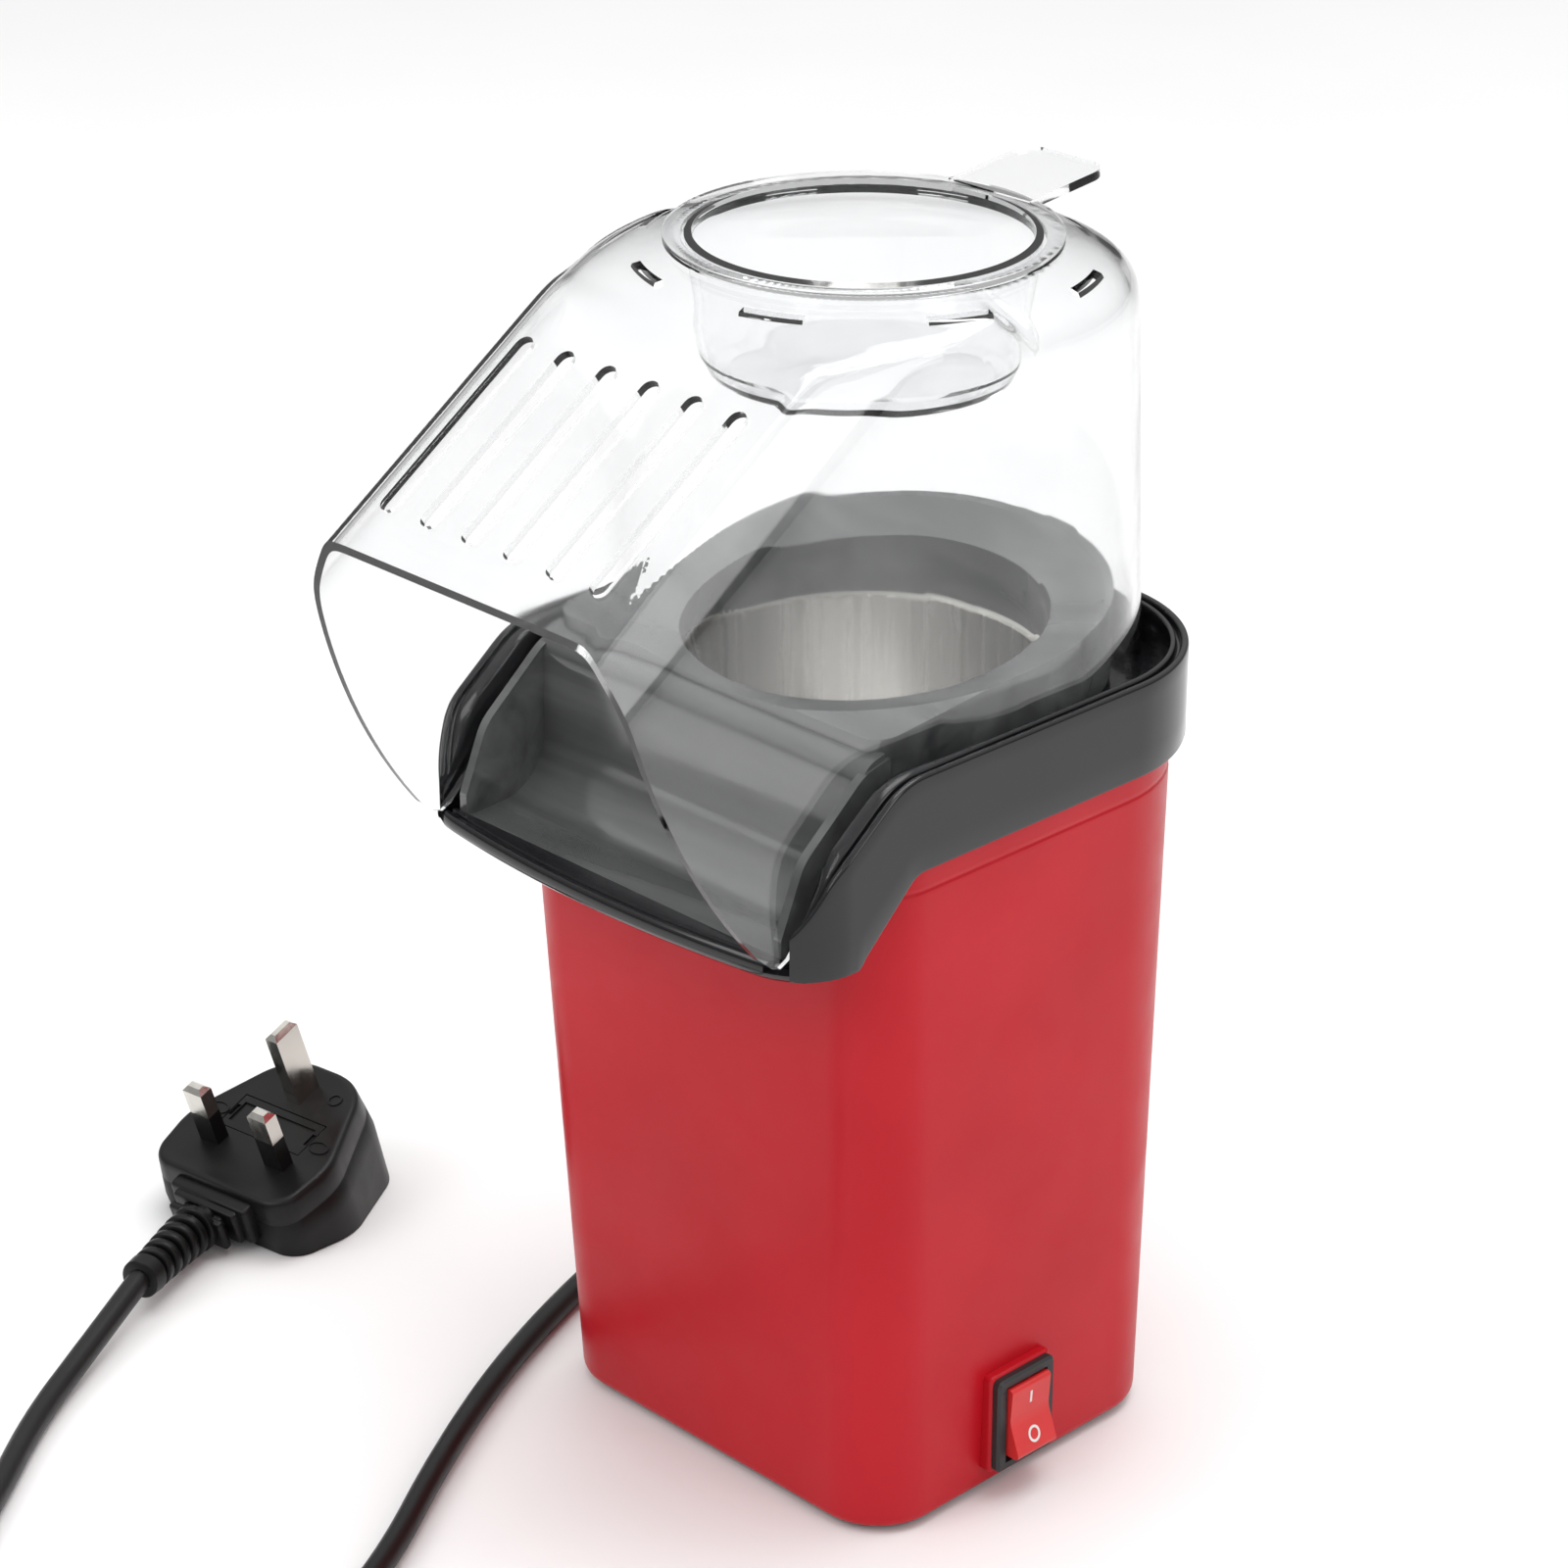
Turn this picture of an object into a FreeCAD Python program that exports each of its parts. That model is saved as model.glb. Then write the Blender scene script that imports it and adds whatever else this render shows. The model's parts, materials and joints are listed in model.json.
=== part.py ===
import FreeCAD, Part

import math
import os

# Hot-air popcorn maker, in millimetres. +Z is up, the chute faces -Y, the switch is on the +X
# side and the cord leaves at +Y. Every dimension below is measured from the popping chamber's
# axis at floor level; the saved frame's origin is the middle of the machine's footprint box,
# which lies FRAME_Y in front of that axis.

os.makedirs("parts", exist_ok=True)
V = FreeCAD.Vector
UP = V(0, 0, 1)
CENTRE = V(0, 0, 0)

FRAME_Y = 26.7

# Body shell: a rounded-rectangle column that widens upwards.
FOOT_HEIGHT = 3.0
SHELL_BOTTOM = 1.5
SHELL_TOP = 176.0
SHELL_WALL = 2.2
# Each plan is (front half width, rear half width, front y, rear y, front radius, rear radius).
SHELL_BASE_PLAN = (53.8, 53.8, -47.7, 48.7, 16.0, 18.0)
SHELL_TOP_PLAN = (59.2, 59.2, -55.5, 58.0, 15.0, 36.0)
CHUTE_GAP_HALF = 51.0
CHUTE_GAP_BOTTOM = 148.5

# Collar: band, two arms and the lip between them.
COLLAR_PLAN = (61.7, 61.7, -79.0, 62.5, 14.0, 40.0)
COLLAR_TOP = 191.5
COLLAR_BOTTOM = 169.5
LIP_TOP = 157.3
LIP_BOTTOM = 153.2
LIP_BACK = -75.0
LIP_BOW = 4.5
LIP_BOW_HALF = 47.0
ARM_SHOULDER = (-50.0, COLLAR_TOP, 18.0)
ARM_BEND = (-69.5, 176.5, 16.0)
ARM_TIP = (-80.0, LIP_TOP, 3.0)
ARM_HEEL = (-60.5, 155.8, 5.0)
ARM_ROOT = (-46.0, COLLAR_BOTTOM, 6.0)
BEAD_IN = 1.8
GROOVE_WIDTH = 1.0
GROOVE_DEPTH = 1.5
# A slit each side of the lip takes the hood's side wall.
SLIT_MID = 52.6
SLIT_HALF = 2.2
LEDGE_TOP = 182.5
LEDGE_THICK = 2.5
LEDGE_FRONT = -43.0
LEDGE_BORE = 46.0

# Hood: clear dome with a slanted, slotted front and an open mouth.
HOOD_WALL = 1.8
HOOD_PLAN = (53.2, 57.2, -122.0, 58.2, 1.0, 44.0)
HOOD_DOME_PLAN = (56.0, 56.0, -56.0, 58.2, 44.0, 44.0)
HOOD_SHOULDER_PLAN = (56.8, 56.8, -56.0, 57.8, 56.0, 56.0)
HOOD_BOTTOM = 182.8
HOOD_SHOULDER_Z = 272.0
HOOD_TOP = 282.0
HOOD_OPENING_R = 38.7
HOOD_GAP = 0.9
HOOD_SPLIT_Y = -46.0
FRONT_Y1, FRONT_Z1 = -57.6, 274.0
FRONT_Y2, FRONT_Z2 = -116.2, 234.6
FRONT_HALF = 40.0
FRONT_SHOULDER_HALF = 48.7
FRONT_SHOULDER_DROP = 15.0
FRONT_BASE_HALF = 55.0
FRONT_BACK_Y = -20.0
MOUTH_MIDDLE = (-105.1, 195.4)
MOUTH_END = (-84.0, 160.5)
HOOD_TOE = (-77.5, 156.3, 4.0)
HOOD_STEP = (-47.0, HOOD_BOTTOM, 8.0)
SLOT_COUNT = 6
SLOT_PITCH = 12.75
SLOT_WIDTH = 4.4
SLOT_START = 11.0
SLOT_END = 60.0
VENT_COUNT = 8
VENT_RADIUS = 49.6
VENT_WIDTH = 1.8
VENT_ARC_DEG = 16.0

# Measuring cup in the hood's opening.
CUP_TOP_R = 37.9
CUP_BOTTOM_R = 34.5
CUP_WALL = 1.6
CUP_DEPTH = 32.0
CUP_RIM_R = 42.5
CUP_RIM_THICK = 1.6
CUP_LIFT = 0.3
TAB_WIDTH = 24.0
TAB_REACH = 64.0
TAB_THICK = 2.0
TAB_SLOPE_DEG = 6.0

# Funnel tray: bowl round the chamber mouth, apron down to the chute, and two cheeks.
TRAY_WALL = 2.2
TRAY_BOTTOM = 185.0
TRAY_PLAN = (49.7, 52.4, -46.5, 55.0, 6.0, 49.5)
BOWL_RIM_Z = 200.0
BOWL_SLOPE = 0.10
BOWL_DROP = 4.0
BOWL_RIM_R = 52.5
NECK_R = 40.0
CHEEK_OUT = 50.0
CHUTE_FLOOR = 156.0
APRON_Y = -51.5
TRAY_FRONT = LIP_BACK + 0.3

# Popping chamber and the hot-air path below it.
CHAMBER_R = 41.0
CHAMBER_WALL = 1.0
CHAMBER_BOTTOM = 106.0
CHAMBER_FLANGE_R = 49.0
CHAMBER_VENTS = 20
GASKET_THICK = 1.5
DUCT_R = 46.0
DUCT_WALL = 0.8
DUCT_BOTTOM = 66.0
SHROUD_R = 46.5
SHROUD_WALL = 1.8
SHROUD_FLOOR = 42.0
IMPELLER_R = 40.0
IMPELLER_Z = 47.0
IMPELLER_HEIGHT = 14.0
BLADE_COUNT = 10
HEATER_RINGS = (76.0, 84.0, 92.0)
HEATER_RING_R = 33.0
HEATER_WIRE_R = 1.8
MICA_THICK = 1.0

# Motor, standing under the shroud floor.
MOTOR_R = 14.0
MOTOR_BOTTOM = 10.0
MOTOR_TOP = SHROUD_FLOOR
SHAFT_R = 1.60
SHAFT_CLEAR = 0.05
BUSH_R = 3.2
SCREW_R = 1.5
SCREW_HEAD_R = 3.0

# Base plate inside the shell's foot.
BASE_Z = 3.0
BASE_THICK = 2.5
BASE_PLAN = (51.2, 51.2, -45.1, 46.1, 13.4, 15.4)
BOSS_FRONT = (45.4, -39.3)
BOSS_REAR = (44.9, 39.8)
POST_AT = 27.0

# Rocker switch on the +X face.
SWITCH_Y = -5.5
SWITCH_Z = 19.5
PLINTH_X = 57.2
BEZEL_THICK = 2.0
BEZEL_SIZE = (18.4, 24.0)
ROCKER_SIZE = (12.6, 18.0)
ROCKER_GAP = 0.35
ROCKER_TILT_DEG = 8.0
# The rocker turns on trunnions set this far behind the plinth's face.
TRUNNION_IN = 1.5
TRUNNION_R = 1.2
TRUNNION_CLEAR = 0.05

# Mains cord, coil and plug.
CORD_D = 6.0
EXIT_X = -30.0
EXIT_Z = 15.0
BUSHING_END = 76.0
# The cord's route from the bushing round the -X side to the coil, chosen by hand.
LEAD_ROUTE = (
    (-30, 76, 15),
    (-31, 96, 12.5),
    (-44, 116, 6),
    (-66, 124.5, 3),
    (-89, 117, 3),
    (-102.5, 97, 3),
    (-104, 72, 3),
    (-95, 39, 3),
    (-82, 3, 3),
    (-71, -31, 3),
    (-57, -64, 3),
    (-38, -98, 3),
    (-15, -133, 3),
    (1, -171, 3),
    (5, -209, 3),
)
# The cord's route from the coil to the plug's strain relief, chosen by hand.
TAIL_ROUTE = (
    (-58.3, -229.5, 8.2),
    (-78, -205, 4),
    (-94, -179, 3),
    (-112, -153, 3),
    (-124, -128, 4.5),
    (-134, -104, 8.5),
)
COIL_CENTRE = V(-31, -211, 0)
COIL_MEAN_R = 33.0
PLUG_AT = V(-160.5, -50.5, 22.4)
PLUG_TILT_DEG = 18.0
PLUG_TURN_DEG = 8.0
PIN_PITCH = 22.23
EARTH_V = 14.8
POLE_V = EARTH_V - PIN_PITCH
PIN_LONG = 17.7
EARTH_LONG = 22.7
SLEEVE_LONG = 9.0
RELIEF_ROUTE = (V(-158.2, -71.0, 10.0), V(-151.0, -92.0, 8.5), V(-134.0, -104.0, 8.5))
RELIEF_RIBS = 7


def unit(start, end):
    """The direction from start to end."""
    step = end.sub(start)
    return step.multiply(1 / step.Length)


def rounded_wire(corners, radii, closed=True):
    """Straight runs joined by tangent arcs of the given radii at the corners."""
    count = len(corners)
    cuts = []
    for i, (corner, radius) in enumerate(zip(corners, radii)):
        if radius == 0 or (not closed and i in (0, count - 1)):
            cuts.append((corner, None, corner))
            continue
        back = unit(corner, corners[i - 1])
        ahead = unit(corner, corners[(i + 1) % count])
        half = back.getAngle(ahead) / 2
        centre = corner.add(unit(CENTRE, back.add(ahead)).multiply(radius / math.sin(half)))
        middle = centre.add(unit(centre, corner).multiply(radius))
        reach = radius / math.tan(half)
        cuts.append((corner.add(back * reach), middle, corner.add(ahead * reach)))
    edges = []
    for i, (start, middle, end) in enumerate(cuts):
        last_end = cuts[i - 1][2]
        if (closed or i > 0) and last_end.distanceToPoint(start) > 1e-6:
            edges.append(Part.makeLine(last_end, start))
        if middle is not None:
            edges.append(Part.Arc(start, middle, end).toShape())
    return Part.Wire(edges)


def plan_wire(plan, z, grow=0.0):
    """A rounded four-sided outline in plan at height z, grown outwards by grow."""
    front_half, rear_half, front, rear, front_r, rear_r = plan
    corners = (
        V(-front_half - grow, front - grow, z),
        V(front_half + grow, front - grow, z),
        V(rear_half + grow, rear + grow, z),
        V(-rear_half - grow, rear + grow, z),
    )
    front_r = max(front_r + grow, 0.5)
    rear_r = max(rear_r + grow, 0.5)
    return rounded_wire(corners, (front_r, front_r, rear_r, rear_r))


def plan_prism(plan, low, high, grow=0.0):
    return Part.Face(plan_wire(plan, low, grow)).extrude(V(0, 0, high - low))


def loft(low_plan, low, high_plan, high, grow=0.0):
    return Part.makeLoft([plan_wire(low_plan, low, grow), plan_wire(high_plan, high, grow)], True, True)


def side_prism(points, low_x, high_x):
    """A prism along X from (y, z, corner radius) points."""
    corners = [V(low_x, p[0], p[1]) for p in points]
    radii = [p[2] if len(p) > 2 else 0 for p in points]
    return Part.Face(rounded_wire(corners, radii)).extrude(V(high_x - low_x, 0, 0))


def box(low, high):
    return Part.makeBox(high[0] - low[0], high[1] - low[1], high[2] - low[2], V(*low))


def cylinder(radius, low, high, x=0.0, y=0.0):
    return Part.makeCylinder(radius, high - low, V(x, y, low))


def tube_between(outer, inner, low, high):
    return cylinder(outer, low, high).cut(cylinder(inner, low - 1, high + 1))


def turned(points):
    """A solid of revolution about Z from (radius, z) points."""
    wire = Part.makePolygon([V(r, 0, z) for r, z in points] + [V(points[0][0], 0, points[0][1])])
    return Part.Face(wire).revolve(CENTRE, UP, 360)


def fuse(shapes):
    return shapes[0].multiFuse(shapes[1:]).removeSplitter()


def spun(shape, angle_deg, centre=CENTRE, axis=UP):
    copy = shape.copy()
    copy.rotate(centre, axis, angle_deg)
    return copy


def save(shape, name):
    if isinstance(shape, (list, tuple)):
        shape = Part.makeCompound(list(shape))
    shape = shape.copy()
    shape.translate(V(0, FRAME_Y, 0))
    for solid in shape.Solids:
        if not solid.isValid():
            print("not valid:", name)
    print(f"{name}: {len(shape.Solids)} solids, {shape.Volume / 1000:.2f} cm3")
    shape.exportStep(f"parts/{name}.step")


def arm_profile(drop=0.0):
    """The collar's outline seen along X; drop lowers its top edge."""
    front = COLLAR_PLAN[2] - LIP_BOW - 2
    rear = COLLAR_PLAN[3] + 2
    return (
        (rear, COLLAR_TOP - drop),
        (ARM_SHOULDER[0], COLLAR_TOP - drop, ARM_SHOULDER[2]),
        (ARM_BEND[0] + drop * 0.6, ARM_BEND[1] - drop, ARM_BEND[2]),
        (ARM_TIP[0] + drop * 0.6, LIP_TOP - drop * 0.4, ARM_TIP[2]),
        (front, LIP_TOP - drop * 0.4),
        (front, LIP_BOTTOM),
        ARM_HEEL,
        ARM_ROOT,
        (rear, COLLAR_BOTTOM),
    )


def shell_outside(grow=0.0, top=SHELL_TOP):
    share = (top - SHELL_BOTTOM) / (SHELL_TOP - SHELL_BOTTOM)
    top_plan = [a + (b - a) * share for a, b in zip(SHELL_BASE_PLAN, SHELL_TOP_PLAN)]
    return loft(SHELL_BASE_PLAN, SHELL_BOTTOM, top_plan, top, grow)


def body_shell():
    outside = shell_outside()
    inside = loft(SHELL_BASE_PLAN, SHELL_BOTTOM - 0.01, SHELL_TOP_PLAN, SHELL_TOP + 0.01, -SHELL_WALL)
    shell = outside.cut(inside)
    shell = shell.cut(box((-CHUTE_GAP_HALF, -70, CHUTE_GAP_BOTTOM), (CHUTE_GAP_HALF, -40, 200)))
    half_y = BEZEL_SIZE[0] / 2 + 0.5
    half_z = BEZEL_SIZE[1] / 2 + 0.5
    plinth = box(
        (50.5, SWITCH_Y - half_y, SWITCH_Z - half_z), (PLINTH_X, SWITCH_Y + half_y, SWITCH_Z + half_z)
    )
    edges = [e for e in plinth.Edges if abs(e.tangentAt(e.FirstParameter).x) > 0.9]
    plinth = plinth.makeFillet(1.5, edges)
    bosses = []
    for x, y in (BOSS_FRONT, BOSS_REAR):
        for side in (-1, 1):
            bosses.append(cylinder(3.6, BASE_Z + BASE_THICK, 22, side * x, y))
    shell = fuse([shell, plinth] + bosses)
    for x, y in (BOSS_FRONT, BOSS_REAR):
        for side in (-1, 1):
            shell = shell.cut(cylinder(SCREW_R, 0, 17, side * x, y))
    opening = box((40, SWITCH_Y - 8.3, SWITCH_Z - 11.1), (70, SWITCH_Y + 8.3, SWITCH_Z + 11.1))
    cord_hole = Part.makeCylinder(5.0, 30, V(EXIT_X, 35, EXIT_Z), V(0, 1, 0))
    return shell.cut(opening).cut(cord_hole)


def base_plate():
    top = BASE_Z + BASE_THICK
    plate = plan_prism(BASE_PLAN, BASE_Z, top)
    for k in range(-3, 4):
        for side in (-1, 1):
            x = side * 21.0
            y = k * 7.0
            plate = plate.cut(box((x - 11, y - 1.5, 0), (x + 11, y + 1.5, top + 1)))
    pieces = [plate]
    for x in (-POST_AT, POST_AT):
        for y in (-POST_AT, POST_AT):
            pieces.append(cylinder(3.5, top, SHROUD_FLOOR, x, y))
    for x, y in ((-44, -9), (-44, 9)):
        pieces.append(cylinder(2.0, top, 12.0, x, y))
    plate = fuse(pieces)
    for x, y in (BOSS_FRONT, BOSS_REAR):
        for side in (-1, 1):
            plate = plate.cut(cylinder(SCREW_R + 0.3, 0, top + 1, side * x, y))
    for x in (-POST_AT, POST_AT):
        for y in (-POST_AT, POST_AT):
            plate = plate.cut(cylinder(SCREW_R, SHROUD_FLOOR - 9, SHROUD_FLOOR + 1, x, y))
    return plate


def foot(x, y):
    pad = Part.makeCone(5.0, 6.0, FOOT_HEIGHT, V(x, y, 0))
    return pad


def screw(x, y, head_z, length, up=True):
    """A pan-head screw along Z: the head sits at head_z and the shank points away from it."""
    way = 1 if up else -1
    head = Part.makeCylinder(SCREW_HEAD_R, 1.6, V(x, y, head_z), V(0, 0, -way))
    shank = Part.makeCylinder(SCREW_R, length, V(x, y, head_z), V(0, 0, way))
    cross = box((x - 2, y - 0.4, head_z - 2 * way - 0.8), (x + 2, y + 0.4, head_z - 2 * way + 0.8))
    return head.fuse(shank).cut(cross).removeSplitter()


def collar():
    outside = plan_prism(COLLAR_PLAN, LIP_BOTTOM - 1, COLLAR_TOP + 1)
    front = COLLAR_PLAN[2]
    bow_low = V(-LIP_BOW_HALF, front, LIP_BOTTOM - 1)
    bow_high = V(LIP_BOW_HALF, front, LIP_BOTTOM - 1)
    bow = Part.Wire(
        [
            Part.Arc(bow_low, V(0, front - LIP_BOW, LIP_BOTTOM - 1), bow_high).toShape(),
            Part.makeLine(bow_high, bow_low),
        ]
    )
    outside = outside.fuse(Part.Face(bow).extrude(V(0, 0, LIP_TOP + 4 - LIP_BOTTOM)))
    band = outside.common(side_prism(arm_profile(), -70, 70))
    groove = plan_prism(COLLAR_PLAN, 140, 200, -BEAD_IN)
    groove = groove.cut(plan_prism(COLLAR_PLAN, 139, 201, -BEAD_IN - GROOVE_WIDTH))
    groove = groove.cut(side_prism(arm_profile(GROOVE_DEPTH), -70, 70))
    groove = groove.cut(box((-55, -90, 139), (55, -60, 201)))
    band = band.cut(groove)
    hollow = plan_prism(HOOD_PLAN, 140, 200, HOOD_GAP)
    keep_lip = box((-70, -130, 130), (70, LIP_BACK, 200))
    band = band.cut(hollow.cut(keep_lip))
    for side in (-1, 1):
        middle = side * SLIT_MID
        slit = box((middle - SLIT_HALF, -130, LIP_BOTTOM + 2), (middle + SLIT_HALF, -60, 200))
        band = band.cut(slit)
    band = band.cut(box((-52, -130, LIP_TOP + 0.01), (52, -60, 200)))
    band = band.cut(shell_outside(0.2, SHELL_TOP + 0.6))
    ledge = plan_prism(HOOD_PLAN, LEDGE_TOP - LEDGE_THICK, LEDGE_TOP, HOOD_GAP + 1)
    ledge = ledge.common(box((-70, LEDGE_FRONT, 170), (70, 70, 190)))
    ledge = ledge.cut(cylinder(LEDGE_BORE, 170, 190))
    return fuse([band, ledge])


def bowl_block(drop, inset, neck_r, low):
    """Everything under the bowl's surface, lowered by drop and drawn in by inset."""
    block = plan_prism(TRAY_PLAN, low, BOWL_RIM_Z + 20, -inset)
    cone = Part.makeCone(NECK_R, BOWL_RIM_R, BOWL_DROP, V(0, 0, -BOWL_DROP))
    above = fuse([cone, cylinder(200, 0, 60), cylinder(NECK_R, -60, -BOWL_DROP)])
    above.rotate(CENTRE, V(1, 0, 0), math.degrees(math.atan(BOWL_SLOPE)))
    above.translate(V(0, 0, BOWL_RIM_Z - drop))
    return block.cut(above).cut(cylinder(neck_r, 100, 300))


def funnel_bowl():
    bowl = bowl_block(0, 0, NECK_R, TRAY_BOTTOM)
    return bowl.cut(bowl_block(TRAY_WALL, TRAY_WALL, NECK_R + TRAY_WALL, TRAY_BOTTOM - 1))


def chute():
    """The apron that falls from the bowl's front edge to the chute's floor, between two cheeks."""
    wall = TRAY_WALL
    apron = side_prism(
        (
            (-44.5, 192.8),
            (APRON_Y, 191.0, 6.0),
            (APRON_Y - 0.5, CHUTE_FLOOR + 0.3, 13.0),
            (TRAY_FRONT, CHUTE_FLOOR - 0.3),
            (TRAY_FRONT, CHUTE_FLOOR - 0.3 - wall),
            (APRON_Y + wall - 0.5, CHUTE_FLOOR + 0.3 - wall, 13.0 + wall),
            (APRON_Y + wall, 191.0 - wall, 6.0 - wall),
            (-44.5, 192.8 - wall),
        ),
        -CHEEK_OUT + 0.5,
        CHEEK_OUT - 0.5,
    )
    pieces = [apron]
    for side in (-1, 1):
        cheek = side_prism(
            (
                (LEDGE_FRONT - 0.3, 191.5),
                (-50.5, 190.2, 12.0),
                (-68.3, 175.5, 12.0),
                (TRAY_FRONT, 160.5, 2.0),
                (TRAY_FRONT, CHUTE_FLOOR - wall - 0.3),
                (-50.0, CHUTE_FLOOR - wall - 0.3),
                (LEDGE_FRONT - 0.3, 176.0),
            ),
            side * CHEEK_OUT,
            side * (CHEEK_OUT - wall),
        )
        pieces.append(cheek)
    return fuse(pieces).cut(funnel_bowl())


def popping_chamber():
    outer = CHAMBER_R + CHAMBER_WALL
    low = CHAMBER_BOTTOM
    top = LEDGE_TOP + 1.0
    cup = turned(
        (
            (0, low + 6),
            (20, low),
            (outer - 4, low),
            (outer, low + 4),
            (outer, LEDGE_TOP),
            (CHAMBER_FLANGE_R, LEDGE_TOP),
            (CHAMBER_FLANGE_R, top),
            (CHAMBER_R, top),
            (CHAMBER_R, low + 4.5),
            (CHAMBER_R - 3.5, low + 1),
            (20.2, low + 1),
            (0, low + 7),
        )
    )
    cup = cup.common(box((-60, LEDGE_FRONT + 0.3, 0), (60, 60, 300)))
    vents = []
    for k in range(CHAMBER_VENTS):
        slit = box((CHAMBER_R - 4, -0.8, low + 7), (CHAMBER_R + 4, 0.8, low + 16))
        slit.rotate(V(CHAMBER_R, 0, low + 11.5), V(1, 0, 0), 28)
        vents.append(spun(slit, k * 360 / CHAMBER_VENTS))
    return cup.cut(vents)


def chamber_gasket():
    low = LEDGE_TOP + 1.0
    ring = tube_between(48.0, 42.4, low, low + GASKET_THICK)
    return ring.common(box((-60, LEDGE_FRONT + 0.3, 0), (60, 60, 300)))


def air_duct():
    top = LEDGE_TOP - LEDGE_THICK
    tube = tube_between(DUCT_R, DUCT_R - DUCT_WALL, DUCT_BOTTOM, top)
    rib = tube_between(DUCT_R + 0.8, DUCT_R - 0.4, 140, 142)
    return fuse([tube, rib])


def fan_shroud():
    top = DUCT_BOTTOM
    cup = cylinder(SHROUD_R, SHROUD_FLOOR, top).cut(
        cylinder(SHROUD_R - SHROUD_WALL, SHROUD_FLOOR + 2, top + 1)
    )
    cup = cup.cut(cylinder(BUSH_R + 0.5, 0, 100))
    for k in range(6):
        angle = math.radians(k * 60)
        cup = cup.cut(cylinder(4.6, 0, 60, 22 * math.cos(angle), 22 * math.sin(angle)))
    for x in (-POST_AT, POST_AT):
        for y in (-POST_AT, POST_AT):
            cup = cup.cut(cylinder(SCREW_R + 0.2, 0, 60, x, y))
    for side in (-1, 1):
        cup = cup.cut(cylinder(SCREW_R + 0.2, 0, 60, 0, side * 8.5))
    ring = tube_between(SHROUD_R - 0.5, SHROUD_R - 5.5, top - 1.5, top)
    return fuse([cup, ring])


def heater_rings(radius):
    rings = []
    for z in HEATER_RINGS:
        rings.append(Part.makeTorus(HEATER_RING_R, radius, V(0, 0, z)))
    return rings


def heater_frame():
    half = MICA_THICK / 2
    reach = DUCT_R - DUCT_WALL - 0.2
    plate = box((-reach, -half, DUCT_BOTTOM + 4), (reach, half, 98))
    cross = plate.fuse(spun(plate, 60)).fuse(spun(plate, 120)).removeSplitter()
    return cross.cut(heater_rings(HEATER_WIRE_R + 0.15))


def motor_can():
    can = cylinder(MOTOR_R, MOTOR_BOTTOM, MOTOR_TOP)
    can = can.cut(cylinder(MOTOR_R - 1, MOTOR_BOTTOM + 1.5, MOTOR_TOP - 1.5))
    return can.cut(cylinder(BUSH_R, 0, 100))


def motor_bushes():
    bushes = []
    for low in (MOTOR_BOTTOM, MOTOR_TOP - 1.5):
        bushes.append(tube_between(BUSH_R, SHAFT_R + SHAFT_CLEAR, low, low + 3.0))
    bushes[1] = tube_between(BUSH_R, SHAFT_R + SHAFT_CLEAR, MOTOR_TOP - 3.0, MOTOR_TOP)
    return bushes


def motor_magnets():
    ring = tube_between(MOTOR_R - 1, 10.4, 15, 37)
    gap = box((-4, -20, 0), (4, 20, 60))
    return ring.cut(gap).Solids


def armature():
    core = tube_between(9.6, SHAFT_R, 17, 35)
    slots = [spun(box((6.2, -0.9, 16), (12, 0.9, 36)), k * 120) for k in range(3)]
    return core.cut(slots)


def motor_shaft():
    return cylinder(SHAFT_R, MOTOR_BOTTOM - 1.5, IMPELLER_Z + IMPELLER_HEIGHT - 2)


def impeller():
    low = IMPELLER_Z
    hub = cylinder(6, low, low + IMPELLER_HEIGHT - 2)
    disc = cylinder(IMPELLER_R, low, low + 1.5)
    blades = []
    for k in range(BLADE_COUNT):
        blade = box((14, -0.7, low), (IMPELLER_R - 2, 0.7, low + IMPELLER_HEIGHT))
        blade.rotate(V(14, 0, 0), UP, -22)
        blades.append(spun(blade, k * 360 / BLADE_COUNT))
    return fuse([hub, disc] + blades).cut(cylinder(SHAFT_R, 0, 100))


def rectifier_board():
    board = box((-48, -12, 12), (-24, 12, 13.6))
    for y in (-9, 9):
        board = board.cut(cylinder(0.9, 0, 20, -44, y))
    return board


def rectifier_diodes():
    return [Part.makeCylinder(1.4, 5.5, V(-38 + k * 3.6, -2.7, 15.0), V(0, 1, 0)) for k in range(4)]


def switch_housing():
    low_x = 36.0
    half_y = BEZEL_SIZE[0] / 2
    half_z = BEZEL_SIZE[1] / 2
    y, z = SWITCH_Y, SWITCH_Z
    core = box((low_x, y - 8, z - 10.8), (PLINTH_X + 0.5, y + 8, z + 10.8))
    bezel = box((PLINTH_X, y - half_y, z - half_z), (PLINTH_X + BEZEL_THICK, y + half_y, z + half_z))
    edges = [e for e in bezel.Edges if abs(e.tangentAt(e.FirstParameter).x) > 0.9]
    bezel = bezel.makeFillet(1.6, edges)
    front_edges = [e for e in bezel.Edges if min(v.X for v in e.Vertexes) > PLINTH_X + BEZEL_THICK - 0.01]
    bezel = bezel.makeChamfer(0.6, front_edges)
    half_y = ROCKER_SIZE[0] / 2 + ROCKER_GAP
    half_z = ROCKER_SIZE[1] / 2 + 0.9
    pocket = box((50, y - half_y, z - half_z), (70, y + half_y, z + half_z))
    return fuse([core, bezel]).cut(pocket).cut(switch_pivot(TRUNNION_R + TRUNNION_CLEAR, 7.5))


def switch_pivot(radius, half_length):
    start = V(PLINTH_X - TRUNNION_IN, SWITCH_Y - half_length, SWITCH_Z)
    return Part.makeCylinder(radius, 2 * half_length, start, V(0, 1, 0))


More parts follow.
